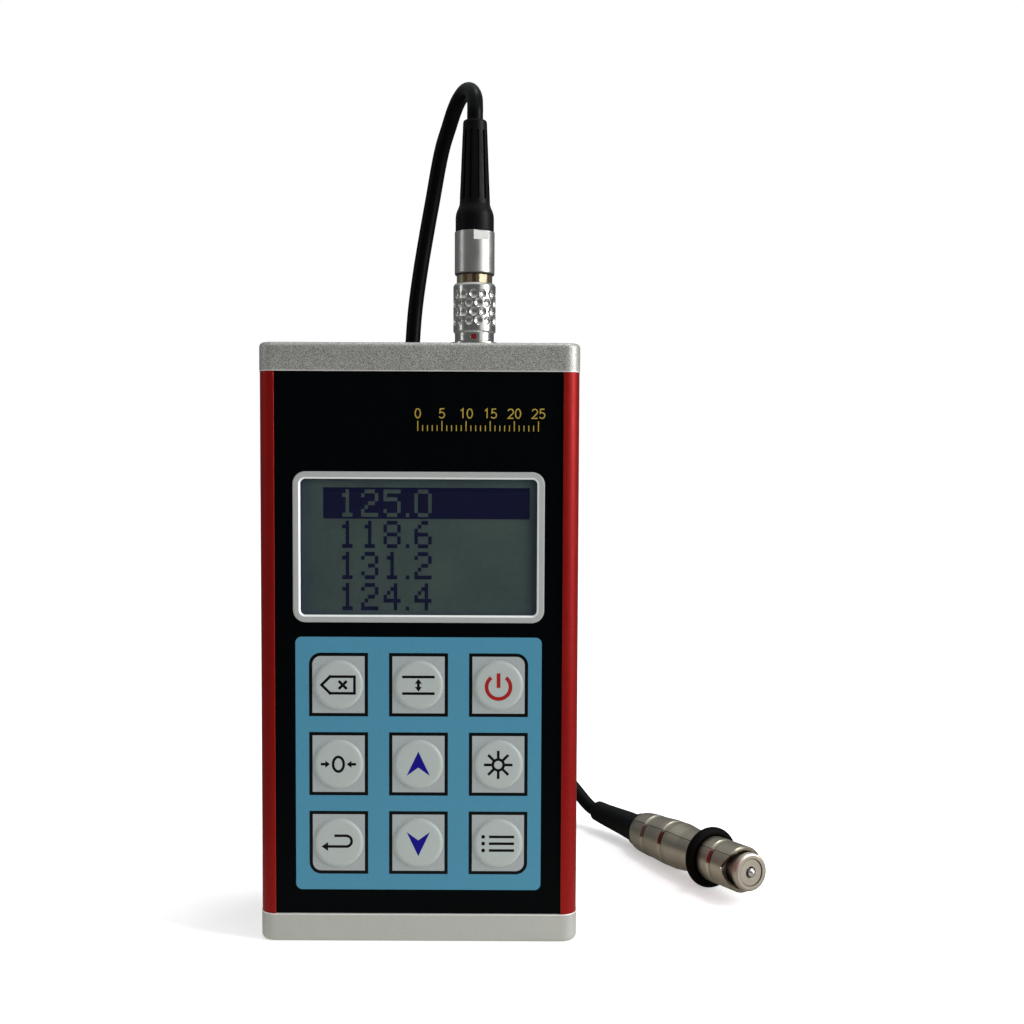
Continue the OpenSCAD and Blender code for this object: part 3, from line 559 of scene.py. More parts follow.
def nut_edge(tree, place, color):
    """Painted shade on the chamfer under the plug's nut."""
    start = low("plug_nut").z
    height = axes_of(tree, place)["Z"]
    return blend(tree, band(tree, height, start - 0.1, start + 0.35, 0.12), color, srgb(92, 90, 86))


# Turn from the front and half width, both in radians, and colour of the painted light and dark reflections on the
# plug's gold collet
COLLET_REFLECTIONS = ((-0.84, 0.14, (236, 222, 190)), (-0.5, 0.16, (150, 122, 92)), (0.0, 0.13, (142, 108, 82)))


def collet_flats(tree, place, color):
    """Painted reflections of light and dark flats round the plug's gold collet."""
    axes = axes_of(tree, place)
    right = calc(tree, "SUBTRACT", axes["X"], PLUG_X * MM)
    turn = calc(tree, "ARCTAN2", right, calc(tree, "MULTIPLY", axes["Y"], -1.0))
    for at, half, tone in COLLET_REFLECTIONS:
        flat = use(tree, BAND, Value=turn, Centre=at, Half_Width=half, Soft=0.05)
        color = blend(tree, flat.outputs["Mask"], color, srgb(*tone))
    return color


def bezel_lip(tree, place, color):
    """Painted highlight on the bevel round the bezel's opening."""
    lip = 0.38
    flat = (high("display_window") - low("display_window")) / 2 - Vector((PANE_R, 0, PANE_R))
    axes = axes_of(tree, place)
    past = []
    for axis, centre, half in ((axes["X"], DISPLAY.x, flat.x), (axes["Z"], DISPLAY.z, flat.z)):
        off = calc(tree, "ABSOLUTE", calc(tree, "SUBTRACT", axis, centre * MM))
        past.append(calc(tree, "MAXIMUM", calc(tree, "SUBTRACT", off, half * MM), 0.0))
    opening = band(tree, hypotenuse(tree, *past), 0, PANE_R + lip, 0.05)
    return blend(tree, opening, color, srgb(228, 232, 231))


def window_seat(tree, place, color):
    """Painted light: the window's seat and the walls of the opening behind it lightened to a grey-blue, so their
    shade doesn't show dark.
    """
    margin = Vector((0.3, 4, 0.3))
    reach = (high("display_window") - low("display_window")) / 2 + margin
    inside = 1.0
    for axis, centre, half in zip(axes_of(tree, place), middle("display_window"), reach):
        inside = calc(tree, "MULTIPLY", inside, band(tree, axis, centre - half, centre + half, 0.05))
    return blend(tree, inside, color, srgb(60, 72, 84))


ANODISED = finish("red_anodised", (156, 11, 7), (116, 6, 4), (0.4, 0.5), grain=0.2, relief=0.006,
                  lines=(14, 14, 0), lines_relief=0.004, edge=((186, 50, 40), 0.2), mark=window_seat,
                  metallic=0.5, Specular_IOR_Level=0.3)
BLASTED = finish("blasted_top", (218, 218, 212), (84, 84, 81), (0.4, 0.5), grain=0.15, relief=0.012,
                 edge=((232, 232, 228), 0.2), mark=cap_edges, metallic=0.6)
# The base cap's finish is a smoother, brighter copy of the top cap's; its extra brightness is painted light for
# the floor's bounce
BLASTED_BASE_LIT = finish("blasted_base_lit", (190, 192, 188), (174, 176, 172), (0.42, 0.52), grain=0.13,
                      relief=0.005, edge=((232, 232, 228), 0.2), mark=cap_edges, metallic=0.6)
FILM = finish("film_black", (3, 5, 7), (2, 3, 4), (0.34, 0.42), grain=0.2, relief=0.002,
              Specular_IOR_Level=0.03)
FIELD = finish("field_blue", (71, 135, 162), (66, 129, 156), (0.36, 0.44), grain=0.2, relief=0.002,
               Specular_IOR_Level=0.2)
LINE = finish("line_black", (6, 7, 10), (4, 5, 7), (0.36, 0.44), grain=0.2, relief=0.002,
              Specular_IOR_Level=0.1)
KEY_FILM = finish("key_film", (168, 176, 174), (161, 169, 167), (0.34, 0.42), grain=0.25, relief=0.002,
                  Specular_IOR_Level=0.35)
SQUARE_FILM = finish("square_film", (157, 164, 165), (150, 157, 158), (0.36, 0.44), grain=0.25, relief=0.002,
                     Specular_IOR_Level=0.3)
INK_BLACK = finish("ink_black", (6, 6, 7), (4, 4, 5), (0.4, 0.5), grain=0.2, Specular_IOR_Level=0.1)
INK_RED = finish("ink_red", (152, 24, 20), (144, 20, 18), (0.4, 0.5), grain=0.2, Specular_IOR_Level=0.2)
INK_NAVY = finish("ink_navy", (14, 4, 128), (10, 3, 116), (0.4, 0.5), grain=0.2, Specular_IOR_Level=0.12)
INK_GOLD = finish("ink_gold", (172, 150, 62), (146, 124, 44), (0.4, 0.5), grain=0.2, Specular_IOR_Level=0.3)
BEZEL = finish("bezel_grey", (164, 167, 166), (158, 161, 160), (0.3, 0.4), grain=0.3, relief=0.002,
               mark=bezel_lip)
DISPLAY_GLASS = finish("display_ground", (62, 75, 73), (55, 67, 67), (0.4, 0.5), grain=0.5, relief=0.0,
                       mark=display_bands, Specular_IOR_Level=0.0)
DISPLAY_DOT = finish("display_dot", (11, 14, 50), (7, 9, 40), (0.4, 0.5), grain=0.4, relief=0.0,
                     Specular_IOR_Level=0.0)
CHROME = finish("bright_chrome", (204, 204, 200), (192, 192, 188), (0.2, 0.27), grain=0.1, relief=0.0006,
                lines=(0, 0, 22), lines_relief=0.001, edge=((214, 214, 211), 0.05), metallic=1.0)
SATIN_CHROME = finish("satin_chrome", (202, 202, 198), (190, 190, 186), (0.3, 0.38), grain=0.1, relief=0.001,
                      lines=(0, 0, 22), lines_relief=0.0015, edge=((206, 206, 203), 0.05), mark=nut_edge,
                      metallic=1.0)
GOLD = finish("gold_plate", (212, 194, 162), (196, 178, 146), (0.14, 0.2), grain=0.1, relief=0.001,
              lines=(0, 0, 20), lines_relief=0.001, mark=collet_flats, metallic=1.0)
ENAMEL = finish("red_enamel", (134, 16, 26), (116, 11, 20), (0.25, 0.35), grain=0.2)
RUBBER = finish("relief_rubber", (5, 6, 6), (3, 3, 3), (0.42, 0.52), grain=0.15, relief=0.004,
                Specular_IOR_Level=0.12)
JACKET = finish("lead_jacket", (4, 5, 5), (2, 3, 3), (0.34, 0.42), grain=0.2, relief=0.003,
                Specular_IOR_Level=0.08)
RING_RUBBER = finish("ring_rubber", (7, 6, 6), (4, 4, 3), (0.5, 0.6), grain=0.15, relief=0.006,
                     Specular_IOR_Level=0.05)
NICKEL = finish("probe_nickel", (198, 191, 173), (184, 177, 159), (0.28, 0.38), grain=0.12, relief=0.001,
                lines=PROBE_DIR * 16, lines_relief=0.0025, edge=((206, 200, 184), 0.06), mark=probe_marks,
                metallic=1.0)
HEAD_NICKEL = finish("head_nickel", (200, 192, 178), (184, 176, 162), (0.4, 0.48), grain=0.12, relief=0.001,
                     lines=PROBE_DIR * 16, lines_relief=0.002, edge=((214, 209, 199), 0.06), mark=head_marks,
                     metallic=1.0)
BALL = finish("polished_ball", (226, 226, 226), (218, 218, 218), (0.05, 0.1), grain=0.2, relief=0.0,
              metallic=1.0)
STEEL = finish("plain_steel", (150, 150, 150), (120, 120, 120), (0.3, 0.42), grain=0.15, relief=0.002,
               edge=((200, 200, 200), 0.1), metallic=1.0)
BLACK_MOULDING = finish("black_moulding", (30, 30, 31), (22, 22, 23), (0.45, 0.6), grain=0.3, relief=0.006)
WHITE_MOULDING = finish("white_moulding", (220, 220, 214), (208, 208, 202), (0.4, 0.55), grain=0.3,
                        relief=0.004)
BOARD = finish("board_laminate", (20, 92, 52), (14, 74, 42), (0.35, 0.5), grain=0.6, relief=0.004)
CELL = finish("cell_jacket", (180, 132, 40), (164, 116, 32), (0.3, 0.42), grain=0.4, metallic=0.3)
COPPER = finish("copper_wire", (186, 104, 62), (150, 76, 42), (0.3, 0.42), grain=0.1, lines=PROBE_DIR * 6,
                lines_relief=0.03, metallic=1.0)


def make_clear():
    """Clear window with faint smears, which lets light through to the display."""
    clear = finish("clear_window", (250, 252, 251), (244, 248, 247), (0.0, 0.012), grain=1.2, relief=0.0,
                   IOR=1.3, Transmission_Weight=1.0)
    tree = clear.node_tree
    shader = tree.nodes["Principled BSDF"]
    shadow = put(tree, "ShaderNodeLightPath").outputs["Is Shadow Ray"]
    through = put(tree, "ShaderNodeBsdfTransparent").outputs[0]
    mix = put(tree, "ShaderNodeMixShader", {0: shadow, 1: shader.outputs[0], 2: through})
    tree.links.new(mix.outputs[0], tree.nodes["Material Output"].inputs["Surface"])
    return clear


CLEAR = make_clear()

# Finish of each CAD node; the keys take the key film
NODE_FINISH = {
    "body_extrusion": ANODISED, "top_cap": BLASTED, "bottom_cap": BLASTED_BASE_LIT, "top_cap_screws": STEEL,
    "bottom_cap_screws": STEEL, "front_overlay": FILM, "display_bezel": BEZEL, "display_window": CLEAR,
    "key_switches": BLACK_MOULDING, "main_board": BOARD, "board_chips": BLACK_MOULDING,
    "buzzer": BLACK_MOULDING, "lcd_glass": DISPLAY_GLASS, "lcd_backlight": WHITE_MOULDING,
    "battery_holder": BLACK_MOULDING, "battery_cells": CELL, "battery_contacts": STEEL,
    "probe_socket": CHROME, "socket_nut": CHROME, "socket_insert": WHITE_MOULDING, "socket_pins": GOLD,
    "plug_shell": GOLD, "plug_sleeve": CHROME, "plug_dot": ENAMEL, "plug_nut": SATIN_CHROME,
    "plug_boot": RUBBER, "plug_insert": WHITE_MOULDING, "plug_pins": GOLD,
    "probe_cable": JACKET, "probe_boot": RUBBER,
    "probe_body": NICKEL, "probe_o_ring": RING_RUBBER, "probe_sleeve": NICKEL, "probe_head": HEAD_NICKEL,
    "probe_stem": STEEL, "probe_core": STEEL, "probe_coil": COPPER, "probe_ball": BALL, "probe_spring": STEEL,
}


def dress_nodes():
    for name, node in frame["nodes"].items():
        node.data.materials.clear()
        node.data.materials.append(NODE_FINISH.get(name, KEY_FILM))


# Lead between the plug and the probe, along the route of its solid

LEAD_ROUTE = [
    (11, 0.4, 178.1), (10.8, 1.8, 180.8), (9.9, 4.4, 182.9), (8.6, 7.6, 183.7), (7.1, 10.6, 182.8),
    (5.8, 13.2, 180.9), (4.4, 15.6, 177.6), (3, 17.3, 173.8), (1.8, 19, 169), (0.6, 20.5, 163),
    (-1, 22, 155), (-2.6, 23, 146), (-3.9, 24, 137), (-4.6, 24.5, 128), (-5, 25.2, 119),
    (-5, 26.4, 110), (-4.4, 28, 101), (-3.2, 30.2, 92), (-1.4, 33, 83), (1, 36.6, 74.5),
    (4, 41, 66), (7.4, 46, 58), (11, 51.4, 50.4), (14.8, 57, 43.2), (18.6, 62.5, 36.4),
    (22.4, 67.4, 30), (26, 71.2, 24.2), (29.4, 73.6, 19), (32.6, 74.4, 14.6), (35.4, 72.6, 11.1),
    (38.2, 68.6, 8.4), (40.2, 65.4, 6.6), (41.78, 63.175, 5.578), (43, 61.6, 5.4),
]
LEAD_D = 3.5
LEAD_OUT = 1.6
RELIEF_ROUTE = [(50.3, 51.6, 4.75), (47.9, 55.1, 4.85), (45.4, 58.5, 5.044), (43, 61.6, 5.4)]
RELIEF_OUT = 4
HANDLE_LEN = 29.3
COLLAR_R, COLLAR_LEN, COLLAR_STEP = 4.35, 1.7, 0.6
RELIEF_ROOT_R, RELIEF_TIP_R = 3.8, 2.65
LIP_LEN, LIP_IN = 0.7, 0.6


def make_lead():
    top = Vector((PLUG_X, 0, high("plug_boot").z))
    route = [top, top + Vector((0, 0, LEAD_OUT))] + LEAD_ROUTE
    path = smooth_path(route, 6)
    points, faces = tube(path, [LEAD_D / 2] * len(path), 24)
    lead = build("probe_lead", points, faces, [JACKET])
    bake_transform(lead)
    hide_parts("probe_cable")


def make_probe_relief():
    """Moulded relief: a collar at the handle, a long taper and a round lip at the lead."""
    rear = PROBE_AT - HANDLE_LEN * PROBE_DIR
    path = smooth_path([rear, rear - RELIEF_OUT * PROBE_DIR] + RELIEF_ROUTE, 24)
    run = [0]
    for a, b in zip(path, path[1:]):
        run.append(run[-1] + (b - a).length)
    radii = []
    for at in run:
        taper = RELIEF_ROOT_R + (RELIEF_TIP_R - RELIEF_ROOT_R) * at / run[-1]
        step = min(max((at - COLLAR_LEN) / COLLAR_STEP, 0), 1)
        r = COLLAR_R + (taper - COLLAR_R) * step * step * (3 - 2 * step)
        short = max(at - (run[-1] - LIP_LEN), 0) / LIP_LEN
        radii.append(r - LIP_IN * (1 - math.sqrt(max(1 - short * short, 0))))
    points, faces = tube(path, radii, 40)
    relief = build("probe_relief", points, faces, [RUBBER], "gauge", sharp=50)
    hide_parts("probe_boot")


# Spring behind the probe's head

SPRING_TURNS = 5
SPRING_MID_R, SPRING_WIRE_R = 2.8, 0.35


def make_spring():
    """Coil spring along the span of the CAD spring, behind the probe's head."""
    back, front = probe_span("probe_spring")
    steps = SPRING_TURNS * 24
    path = []
    for k in range(steps + 1):
        turn = 2 * math.pi * SPRING_TURNS * k / steps
        along = back + SPRING_WIRE_R + (front - back - 2 * SPRING_WIRE_R) * k / steps
        out = math.cos(turn) * PROBE_LEFT + math.sin(turn) * PROBE_UP
        path.append(PROBE_AT + along * PROBE_DIR + SPRING_MID_R * out)
    points, faces = tube(path, [SPRING_WIRE_R] * len(path), 10)
    spring = build("head_spring", points, faces, [STEEL])
    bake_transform(spring)
    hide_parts("probe_spring")


# Printed front film

FIELD_W, FIELD_H, FIELD_R = 51.5, 53.6, 1.3
SQUARE_W, SQUARE_H, SQUARE_R = 12.35, 13.4, 2.45
SQUARE_LINE = 0.7
BEZEL_R, BEZEL_PLAY = 2.6, 0.05
PITCH = middle("key_power").x
KEY_PLAY = 0.1
HOLE_R = (high("key_up").x - low("key_up").x) / 2 + KEY_PLAY
FILM_REGIONS = [FILM, FIELD, LINE, SQUARE_FILM]


def key_squares(inset):
    """Outlines of the nine key squares; only the block's own corners are round."""
    w, h, r = SQUARE_W - 2 * inset, SQUARE_H - 2 * inset, SQUARE_R - inset
    square = [(w / 2, h / 2), (-w / 2, h / 2), (-w / 2, -h / 2), (w / 2, -h / 2)]
    loops = []
    for column in (-1, 0, 1):
        for row in (-1, 0, 1):
            loop = []
            for x, y in square:
                if x * column > 0 and y * row > 0:
                    start = math.degrees(math.atan2(y, x)) // 90 * 90
                    loop += arc(x - math.copysign(r, x), y - math.copysign(r, y), r, start, start + 90, 8)
                else:
                    loop.append((x, y))
            loops.append(moved(loop, KEYPAD.x + column * PITCH, KEYPAD.z + row * PITCH))
    return loops


def make_film():
    left, right = low("front_overlay"), high("front_overlay")
    outer = [(left.x, left.z), (right.x, left.z), (right.x, right.z), (left.x, right.z)]
    size = high("display_bezel") - low("display_bezel")
    opening = rounded_outline(size.x + 2 * BEZEL_PLAY, size.z + 2 * BEZEL_PLAY, BEZEL_R + BEZEL_PLAY)
    window = moved(opening, DISPLAY.x, DISPLAY.z)
    holes = [circle(middle(n).x, middle(n).z, HOLE_R) for n in KEY_NODES]
    field = moved(rounded_outline(FIELD_W, FIELD_H, FIELD_R), KEYPAD.x, KEYPAD.z)
    squares = key_squares(0)
    panes = key_squares(SQUARE_LINE)

    def region(x, z):
        if in_any(x, z, [window] + holes):
            return None
        if in_any(x, z, panes):
            return 3
        if in_any(x, z, squares):
            return 2
        return 1 if in_loop(x, z, field) else 0

    flat = fill([outer, window, field] + holes + squares + panes, region)
    points, faces, regions = thicken(*flat, FILM_FRONT, FILM_BACK)
    film = build("printed_film", points, faces, FILM_REGIONS, "gauge", regions)
    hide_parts("front_overlay")


# Signs of the keys, in millimetres from a key's centre

SIGN_LINE = 0.56
POWER_LINE = 0.8
HALVES = ((0, 180), (180, 360))


def stroke(points, width):
    """A line of that width along points, as a closed loop."""
    p = [Vector(q) for q in points]
    left, right = [], []
    for i, at in enumerate(p):
        before = (at - p[i - 1]).normalized() if i else (p[1] - at).normalized()
        after = (p[i + 1] - at).normalized() if i < len(p) - 1 else before
        mean = (before + after).normalized()
        reach = width / 2 / max(mean.dot(after), 0.3)
        side = Vector((-mean.y, mean.x)) * reach
        left.append(tuple(at + side))
        right.append(tuple(at - side))
    return left + right[::-1]


def arc(x, y, r, start, end, steps=24):
    turn = [math.radians(start + (end - start) * k / steps) for k in range(steps + 1)]
    return [(x + r * math.cos(a), y + r * math.sin(a)) for a in turn]


def outline(points, width):
    """Strokes along the sides of a closed shape."""
    loops = []
    for a, b in zip(points, points[1:] + points[:1]):
        step = (Vector(b) - Vector(a)).normalized() * width / 2
        loops.append(stroke([tuple(Vector(a) - step), tuple(Vector(b) + step)], width))
    return loops


def sign_delete():
    tag = [(-3.5, 0), (-1.7, 1.75), (3.4, 1.75), (3.4, -1.75), (-1.7, -1.75)]
    cross = [stroke([(0.1, -s), (1.8, s)], SIGN_LINE) for s in (-0.85, 0.85)]
    return outline(tag, SIGN_LINE) + cross


def sign_limit():
    bars = [stroke([(-3.4, y), (3.4, y)], SIGN_LINE) for y in (-1.75, 1.75)]
    heads = [[(0, s * 1.35), (-0.75, s * 0.35), (0.75, s * 0.35)] for s in (-1, 1)]
    return bars + heads + [stroke([(0, -0.5), (0, 0.5)], SIGN_LINE)]


def sign_power():
    ring = stroke(arc(0, -0.3, 2.5, 128, 412, 40), POWER_LINE)
    return [ring, stroke([(0, -0.5), (0, 2.6)], POWER_LINE)]


def sign_zero():
    ring = [stroke([(x * 0.72, y) for x, y in arc(0, 0, 1.55, *t)], SIGN_LINE) for t in HALVES]
    heads = [[(s * 1.75, 0), (s * 2.75, 0.75), (s * 2.75, -0.75)] for s in (-1, 1)]
    tails = [stroke([(s * 2.6, 0), (s * 3.7, 0)], SIGN_LINE) for s in (-1, 1)]
    return ring + heads + tails


def sign_up():
    return [[(0, 2.75), (-2.45, -2.4), (0, -0.65), (2.45, -2.4)]]


def sign_down():
    return [[(x, -y) for x, y in sign_up()[0]]]


def sign_light():
    rays = [stroke([(1.35 * c, 1.35 * s), (3.0 * c, 3.0 * s)], SIGN_LINE)
            for c, s in ((math.cos(k * math.pi / 4), math.sin(k * math.pi / 4)) for k in range(8))]
    return rays + [stroke(arc(0, 0, 1.15, *t), SIGN_LINE) for t in HALVES]


def sign_exit():
    bend = [(-2.4, -0.75), (1.6, -0.75)] + arc(1.6, 0.4, 1.15, -80, 90, 16) + [(-0.9, 1.55)]
    return [stroke(bend, SIGN_LINE), [(-3.6, -0.75), (-2.2, 0.2), (-2.2, -1.7)]]


def sign_menu():
    rows = (-1.45, 0, 1.45)
    bars = [stroke([(-1.9, y), (3.4, y)], SIGN_LINE) for y in rows]
    return bars + [circle(-3.1, y, 0.4, 20) for y in rows]


SIGNS = {
    "key_delete": (sign_delete, INK_BLACK), "key_limit": (sign_limit, INK_BLACK),
    "key_power": (sign_power, INK_RED), "key_zero": (sign_zero, INK_BLACK), "key_up": (sign_up, INK_NAVY),
    "key_light": (sign_light, INK_BLACK), "key_exit": (sign_exit, INK_BLACK),
    "key_down": (sign_down, INK_NAVY), "key_menu": (sign_menu, INK_BLACK),
}


# Keys

KEY_TOP_R = 4.3
SHOULDER_OUT, SHOULDER_DROP = 0.75, 0.36
SHOULDER_STEPS = 8
FOOT_PLAY = 0.02
STEM_R = 2.6


def make_key(name):
    """Embossed film key: printed top, round shoulder, foot that meets the film, and the stem behind it."""
    sign, ink = SIGNS[name]
    centre = middle(name)
    front = low(name).y
    foot = HOLE_R - FOOT_PLAY
    film = FILM_FRONT - front
    waist = KEY_TOP_R + SHOULDER_OUT
    flare, rise = foot - waist, film - SHOULDER_DROP
    quarter = [math.radians(90 * k / SHOULDER_STEPS) for k in range(1, SHOULDER_STEPS + 1)]
    profile = [(KEY_TOP_R, 0)]
    profile += [(KEY_TOP_R + SHOULDER_OUT * math.sin(a), SHOULDER_DROP * (1 - math.cos(a))) for a in quarter]
    profile += [(waist + flare * (1 - math.cos(a)), SHOULDER_DROP + rise * math.sin(a)) for a in quarter]
    profile += [(foot, FILM_BACK - front), (STEM_R, FILM_BACK - front), (STEM_R, high(name).y - front)]
    rings = [[(centre.x + x, front + d, centre.z + y) for x, y in circle(0, 0, r)] for r, d in profile]
    points, faces = loft(rings)
    faces.append(tuple(range(len(points) - len(rings[-1]), len(points))))
    regions = [0] * len(faces)
    loops = sign()
    tops, top_faces, top_regions = fill(
        [circle(0, 0, KEY_TOP_R)] + loops, lambda x, y: 1 if in_any(x, y, loops) else 0)
    first = len(points)
    points += [(centre.x + x, front, centre.z + y) for x, y in tops]
    faces += [tuple(first + i for i in f) for f in top_faces]
    key = build(name + "_dome", points, faces, [KEY_FILM, ink], name, regions + top_regions, sharp=60)
    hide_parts(name)


# Display

DOT_W, DOT_H = 0.358, 0.4075
DOT_FILL = 0.98
DOT_UP = 0.02
SCREEN_LEFT, SCREEN_TOP = -19.87, 95.94
PANE_T, SHEET_GAP, SHEET_T = 0.42, 0.04, 0.1
SHEET_Y = low("display_window").y + PANE_T + SHEET_GAP
SCREEN_COLUMNS = 120
LINE_DOTS = 16
TEXT_START = 9
READINGS = ("125.0", "118.6", "131.2", "124.4")

# Figures in cells of two dots by two, row by row from the top
DIGITS = {
    "0": "01110 10001 10001 10001 10001 10001 01110",
    "1": "00100 01100 00100 00100 00100 00100 01110",
    "2": "01110 10001 00001 00110 01000 10000 11111",
    "3": "01110 10001 00001 00110 00001 10001 01110",
    "4": "00010 00110 01010 10010 11111 00010 00010",
    "5": "11111 10000 11110 00001 00001 10001 01110",
    "6": "00110 01000 10000 11110 10001 10001 01110",
    "8": "01110 10001 10001 01110 10001 10001 01110",
    ".": "0 0 0 0 0 0 1",
}


def reading_dots(text, top_dot):
    """Screen places of the dots of a number."""
    dots = set()
    column = TEXT_START
    for figure in text:
        rows = DIGITS[figure].split()
        for j, row in enumerate(rows):
            for i, cell in enumerate(row):
                if cell == "1":
                    dots |= {(column + 2 * i + a, top_dot + 1 + 2 * j + b) for a in (0, 1) for b in (0, 1)}
        column += 2 * len(rows[0]) + 3
    return dots


def make_pane():
    """Clear pane in the bezel, and the display's front sheet close behind it."""
    size = high("display_window") - low("display_window")
    edge = moved(rounded_outline(size.x, size.z, PANE_R), DISPLAY.x, DISPLAY.z)
    flat = fill([edge], lambda x, z: 0)
    front = low("display_window").y
    points, faces, _ = thicken(*flat, front, front + PANE_T)
    pane = build("display_pane", points, faces, [CLEAR], "gauge")
    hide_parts("display_window")
    points, faces, _ = thicken(*flat, SHEET_Y, SHEET_Y + SHEET_T)
    sheet = build("display_sheet", points, faces, [DISPLAY_GLASS], "gauge")


def make_readings():
    """Dots of the display: four numbers, the first one light on a dark bar."""
    bar = {(i, j) for i in range(SCREEN_COLUMNS) for j in range(LINE_DOTS)}
    dots = bar - reading_dots(READINGS[0], 0)
    for k, text in enumerate(READINGS[1:], 1):
        dots |= reading_dots(text, k * LINE_DOTS)
    front = SHEET_Y - DOT_UP
    w, h = DOT_W * DOT_FILL, DOT_H * DOT_FILL
    points, faces = [], []
    for i, j in sorted(dots):
        x, z = SCREEN_LEFT + i * DOT_W, SCREEN_TOP - j * DOT_H
        first = len(points)
        points += [(x, front, z), (x + w, front, z), (x + w, front, z - h), (x, front, z - h)]
        faces.append((first + 3, first + 2, first + 1, first))
    readings = build("display_readings", points, faces, [DISPLAY_DOT], "gauge")


# Gold scale printed above the display

SCALE_LEFT, SCALE_Z = -0.2, 107.7
SCALE_STEPS, SCALE_GAP = 25, 1.0
NUMBER_EVERY = 5
TICK_SHORT, TICK_LONG = 1.2, 2.1
TICK_LINE, NUMBER_LINE = 0.2, 0.24
NUMBER_H, NUMBER_UP = 1.9, 2.7
FIGURE_W, FIGURE_PITCH = 0.6, 0.8
PRINT_UP = 0.012


def figure_lines(digit):
    """Lines of a digit in a cell 0.6 wide and 1 high."""
    return {
        "0": [[(0.3 + 0.56 * (x - 0.3), y) for x, y in arc(0.3, 0.5, 0.5, *turn)] for turn in HALVES],
        "1": [[(0.12, 0.78), (0.36, 1), (0.36, 0)]],
        "2": [arc(0.3, 0.7, 0.29, 165, -35, 14) + [(0.02, 0), (0.6, 0)]],
        "5": [[(0.55, 1), (0.12, 1), (0.08, 0.56)] + arc(0.27, 0.32, 0.31, 105, -150, 16)],
    }[digit]


def number_strokes(number, x):
    """Strokes of a number centred over x."""
    first = x - NUMBER_H * (FIGURE_PITCH * (len(number) - 1) + FIGURE_W) / 2
    loops = []
    for i, digit in enumerate(number):
        for line in figure_lines(digit):
            places = [(first + NUMBER_H * (FIGURE_PITCH * i + px), SCALE_Z + NUMBER_UP + NUMBER_H * py)
                      for px, py in line]
            loops.append(stroke(places, NUMBER_LINE))
    return loops


def make_scale():
    loops = []
    for k in range(SCALE_STEPS + 1):
        x = SCALE_LEFT + k * SCALE_GAP
        numbered = k % NUMBER_EVERY == 0
        tall = TICK_LONG if numbered else TICK_SHORT
        loops.append(stroke([(x, SCALE_Z), (x, SCALE_Z + tall)], TICK_LINE))
        if numbered:
            loops += number_strokes(str(k), x)
    points, faces, _ = fill(loops, lambda x, z: 0 if in_any(x, z, loops) else None)
    places = [(x, FILM_FRONT - PRINT_UP, z) for x, z in points]
    scale = build("scale_print", places, faces, [INK_GOLD], "gauge")


# Floor

FLOOR_REACH = 3000
FLOOR_GLOW = 0.45
TABLE_CENTRE = Vector((0, -40, 0))
TABLE_NEAR, TABLE_FAR = 30, 110


def table_bounce(tree, place, color):
    """The floor's own colour to the eye; to the part, bright close by and dim far off, more so in mirrors."""
    path = put(tree, "ShaderNodeLightPath").outputs
    reach = put(tree, "ShaderNodeVectorMath", {0: place, 1: TABLE_CENTRE * MM}, operation="DISTANCE")
    far = put(tree, "ShaderNodeMapRange", {"Value": reach.outputs["Value"], "From Min": TABLE_NEAR * MM,
                                           "From Max": TABLE_FAR * MM}).outputs["Result"]
    mirror = path["Is Glossy Ray"]
    close = blend(tree, mirror, srgb(222, 220, 215), srgb(206, 202, 194))
    dim = blend(tree, mirror, srgb(196, 194, 190), srgb(92, 90, 86))
    bounce = blend(tree, far, close, dim)
    return blend(tree, path["Is Camera Ray"], bounce, color)


def light_table(floor_finish):
    """Lets the floor glow in its own colour, as a light table does, which leaves only a faint shadow."""
    tree = floor_finish.node_tree
    shader = tree.nodes["Principled BSDF"]
    tree.links.new(shader.inputs["Base Color"].links[0].from_socket, shader.inputs["Emission Color"])
    shader.inputs["Emission Strength"].default_value = FLOOR_GLOW


def make_stage():
    """Pale floor that lights the part as a table of limited size does."""
    floor_finish = finish("floor_pale", (250, 250, 250), (247, 247, 247), (0.6, 0.7), grain=3.0, relief=0.0,
                          mark=table_bounce, Specular_IOR_Level=0.1)
    corners = [(-1, -1), (1, -1), (1, 1), (-1, 1)]
    floor = build("floor", [(x * FLOOR_REACH, y * FLOOR_REACH, 0) for x, y in corners], [(0, 1, 2, 3)],
                  [floor_finish])
    light_table(floor_finish)


# Light, placed in metres

ROOM_LOW, ROOM_HIGH = 0.12, 0.9
ROOM_TINT = (0.95, 0.98, 1.0, 1.0)


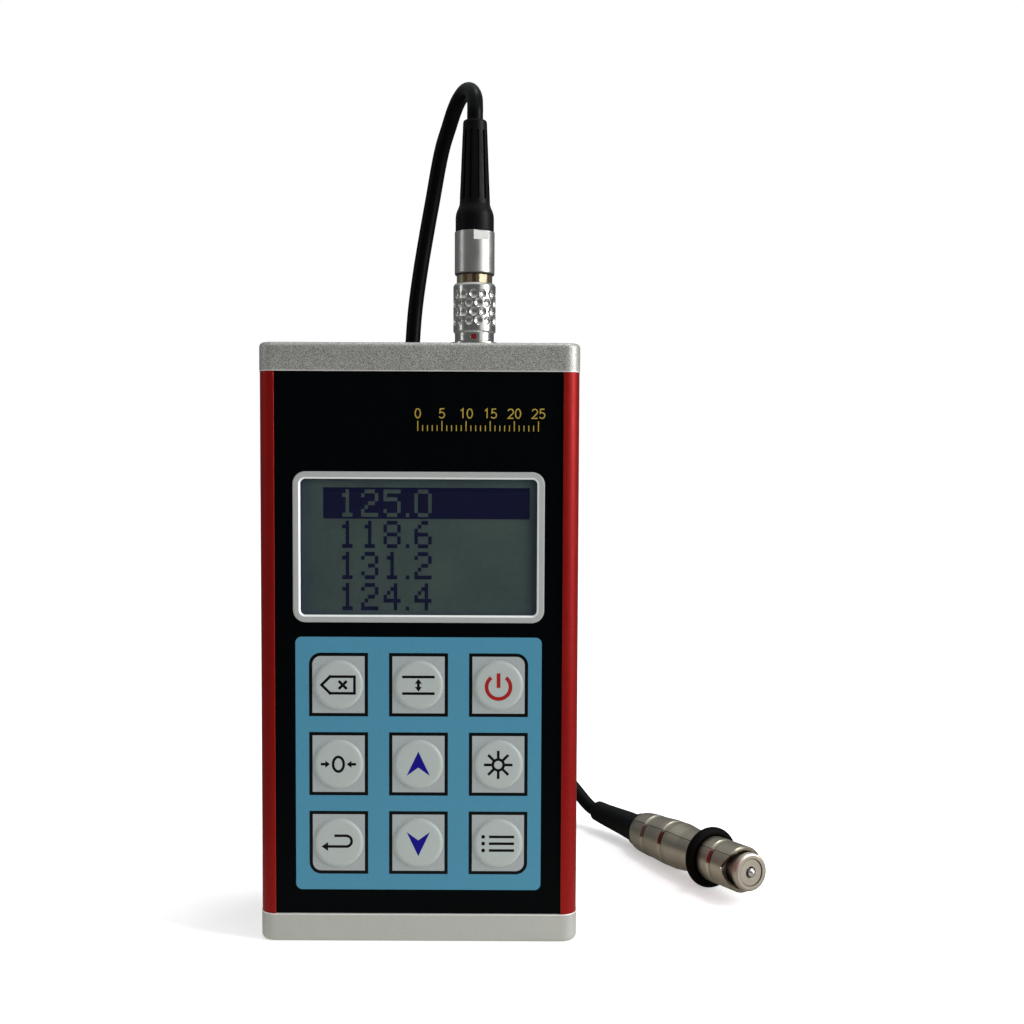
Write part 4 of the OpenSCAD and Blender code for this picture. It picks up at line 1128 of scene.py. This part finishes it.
def make_light(name, at, aim, size, power, mirrored=True):
    """A rectangular light; one that isn't mirrored shows in no gloss."""
    data = bpy.data.lights.new(name, "AREA")
    data.shape = "RECTANGLE"
    data.size, data.size_y = size
    data.energy = power
    light = bpy.data.objects.new(name, data)
    light.location = at
    light.rotation_euler = (Vector(aim) - Vector(at)).to_track_quat("-Z", "Y").to_euler()
    light.visible_glossy = mirrored
    scene.collection.objects.link(light)


def make_sun(at, strength, angle):
    data = bpy.data.lights.new("overhead", "SUN")
    data.energy = strength
    data.angle = math.radians(angle)
    sun = bpy.data.objects.new("overhead", data)
    sun.rotation_euler = (-Vector(at)).to_track_quat("-Z", "Y").to_euler()
    scene.collection.objects.link(sun)


def make_world():
    """White to the eye, and to the surfaces a dim grey room that is paler overhead."""
    world = bpy.data.worlds.new("studio")
    world.use_nodes = True
    tree = world.node_tree
    tree.nodes.clear()
    height = axes_of(tree, put(tree, "ShaderNodeTexCoord").outputs["Generated"])["Z"]
    overhead = calc(tree, "MULTIPLY", height, height)
    room = put(tree, "ShaderNodeBackground",
               {"Color": ROOM_TINT, "Strength": spread(tree, overhead, ROOM_LOW, ROOM_HIGH)})
    seen = put(tree, "ShaderNodeBackground", {"Color": (1.0, 1.0, 1.0, 1.0), "Strength": 1.0})
    eye = put(tree, "ShaderNodeLightPath").outputs["Is Camera Ray"]
    mix = put(tree, "ShaderNodeMixShader", {0: eye, 1: room.outputs[0], 2: seen.outputs[0]})
    put(tree, "ShaderNodeOutputWorld", {"Surface": mix.outputs[0]})
    scene.world = world


def make_lighting():
    make_world()
    make_sun(at=(0.25, 0.08, 1.0), strength=0.8, angle=20)
    make_light("right_softbox", at=(0.6, -0.19, 0.3), aim=(0.02, 0, 0.08), size=(0.18, 0.45), power=3.6)
    make_light("front_card", at=(0.5, -0.39, 0.3), aim=(0, 0, 0.12), size=(0.42, 0.45), power=0.5)
    make_light("left_fill", at=(-0.5, -0.5, 0.35), aim=(0, 0, 0.07), size=(0.4, 0.4), power=0.6,
               mirrored=False)
    make_light("left_strip", at=(-0.6, -0.14, 0.24), aim=(0, 0, 0.15), size=(0.09, 0.22), power=0.16)
    scene.view_settings.view_transform = "Standard"


make_camera()
make_lead()
make_probe_relief()
make_spring()
dress_nodes()
make_film()
for key_name in KEY_NODES:
    make_key(key_name)
make_pane()
make_readings()
make_scale()
make_stage()
make_lighting()
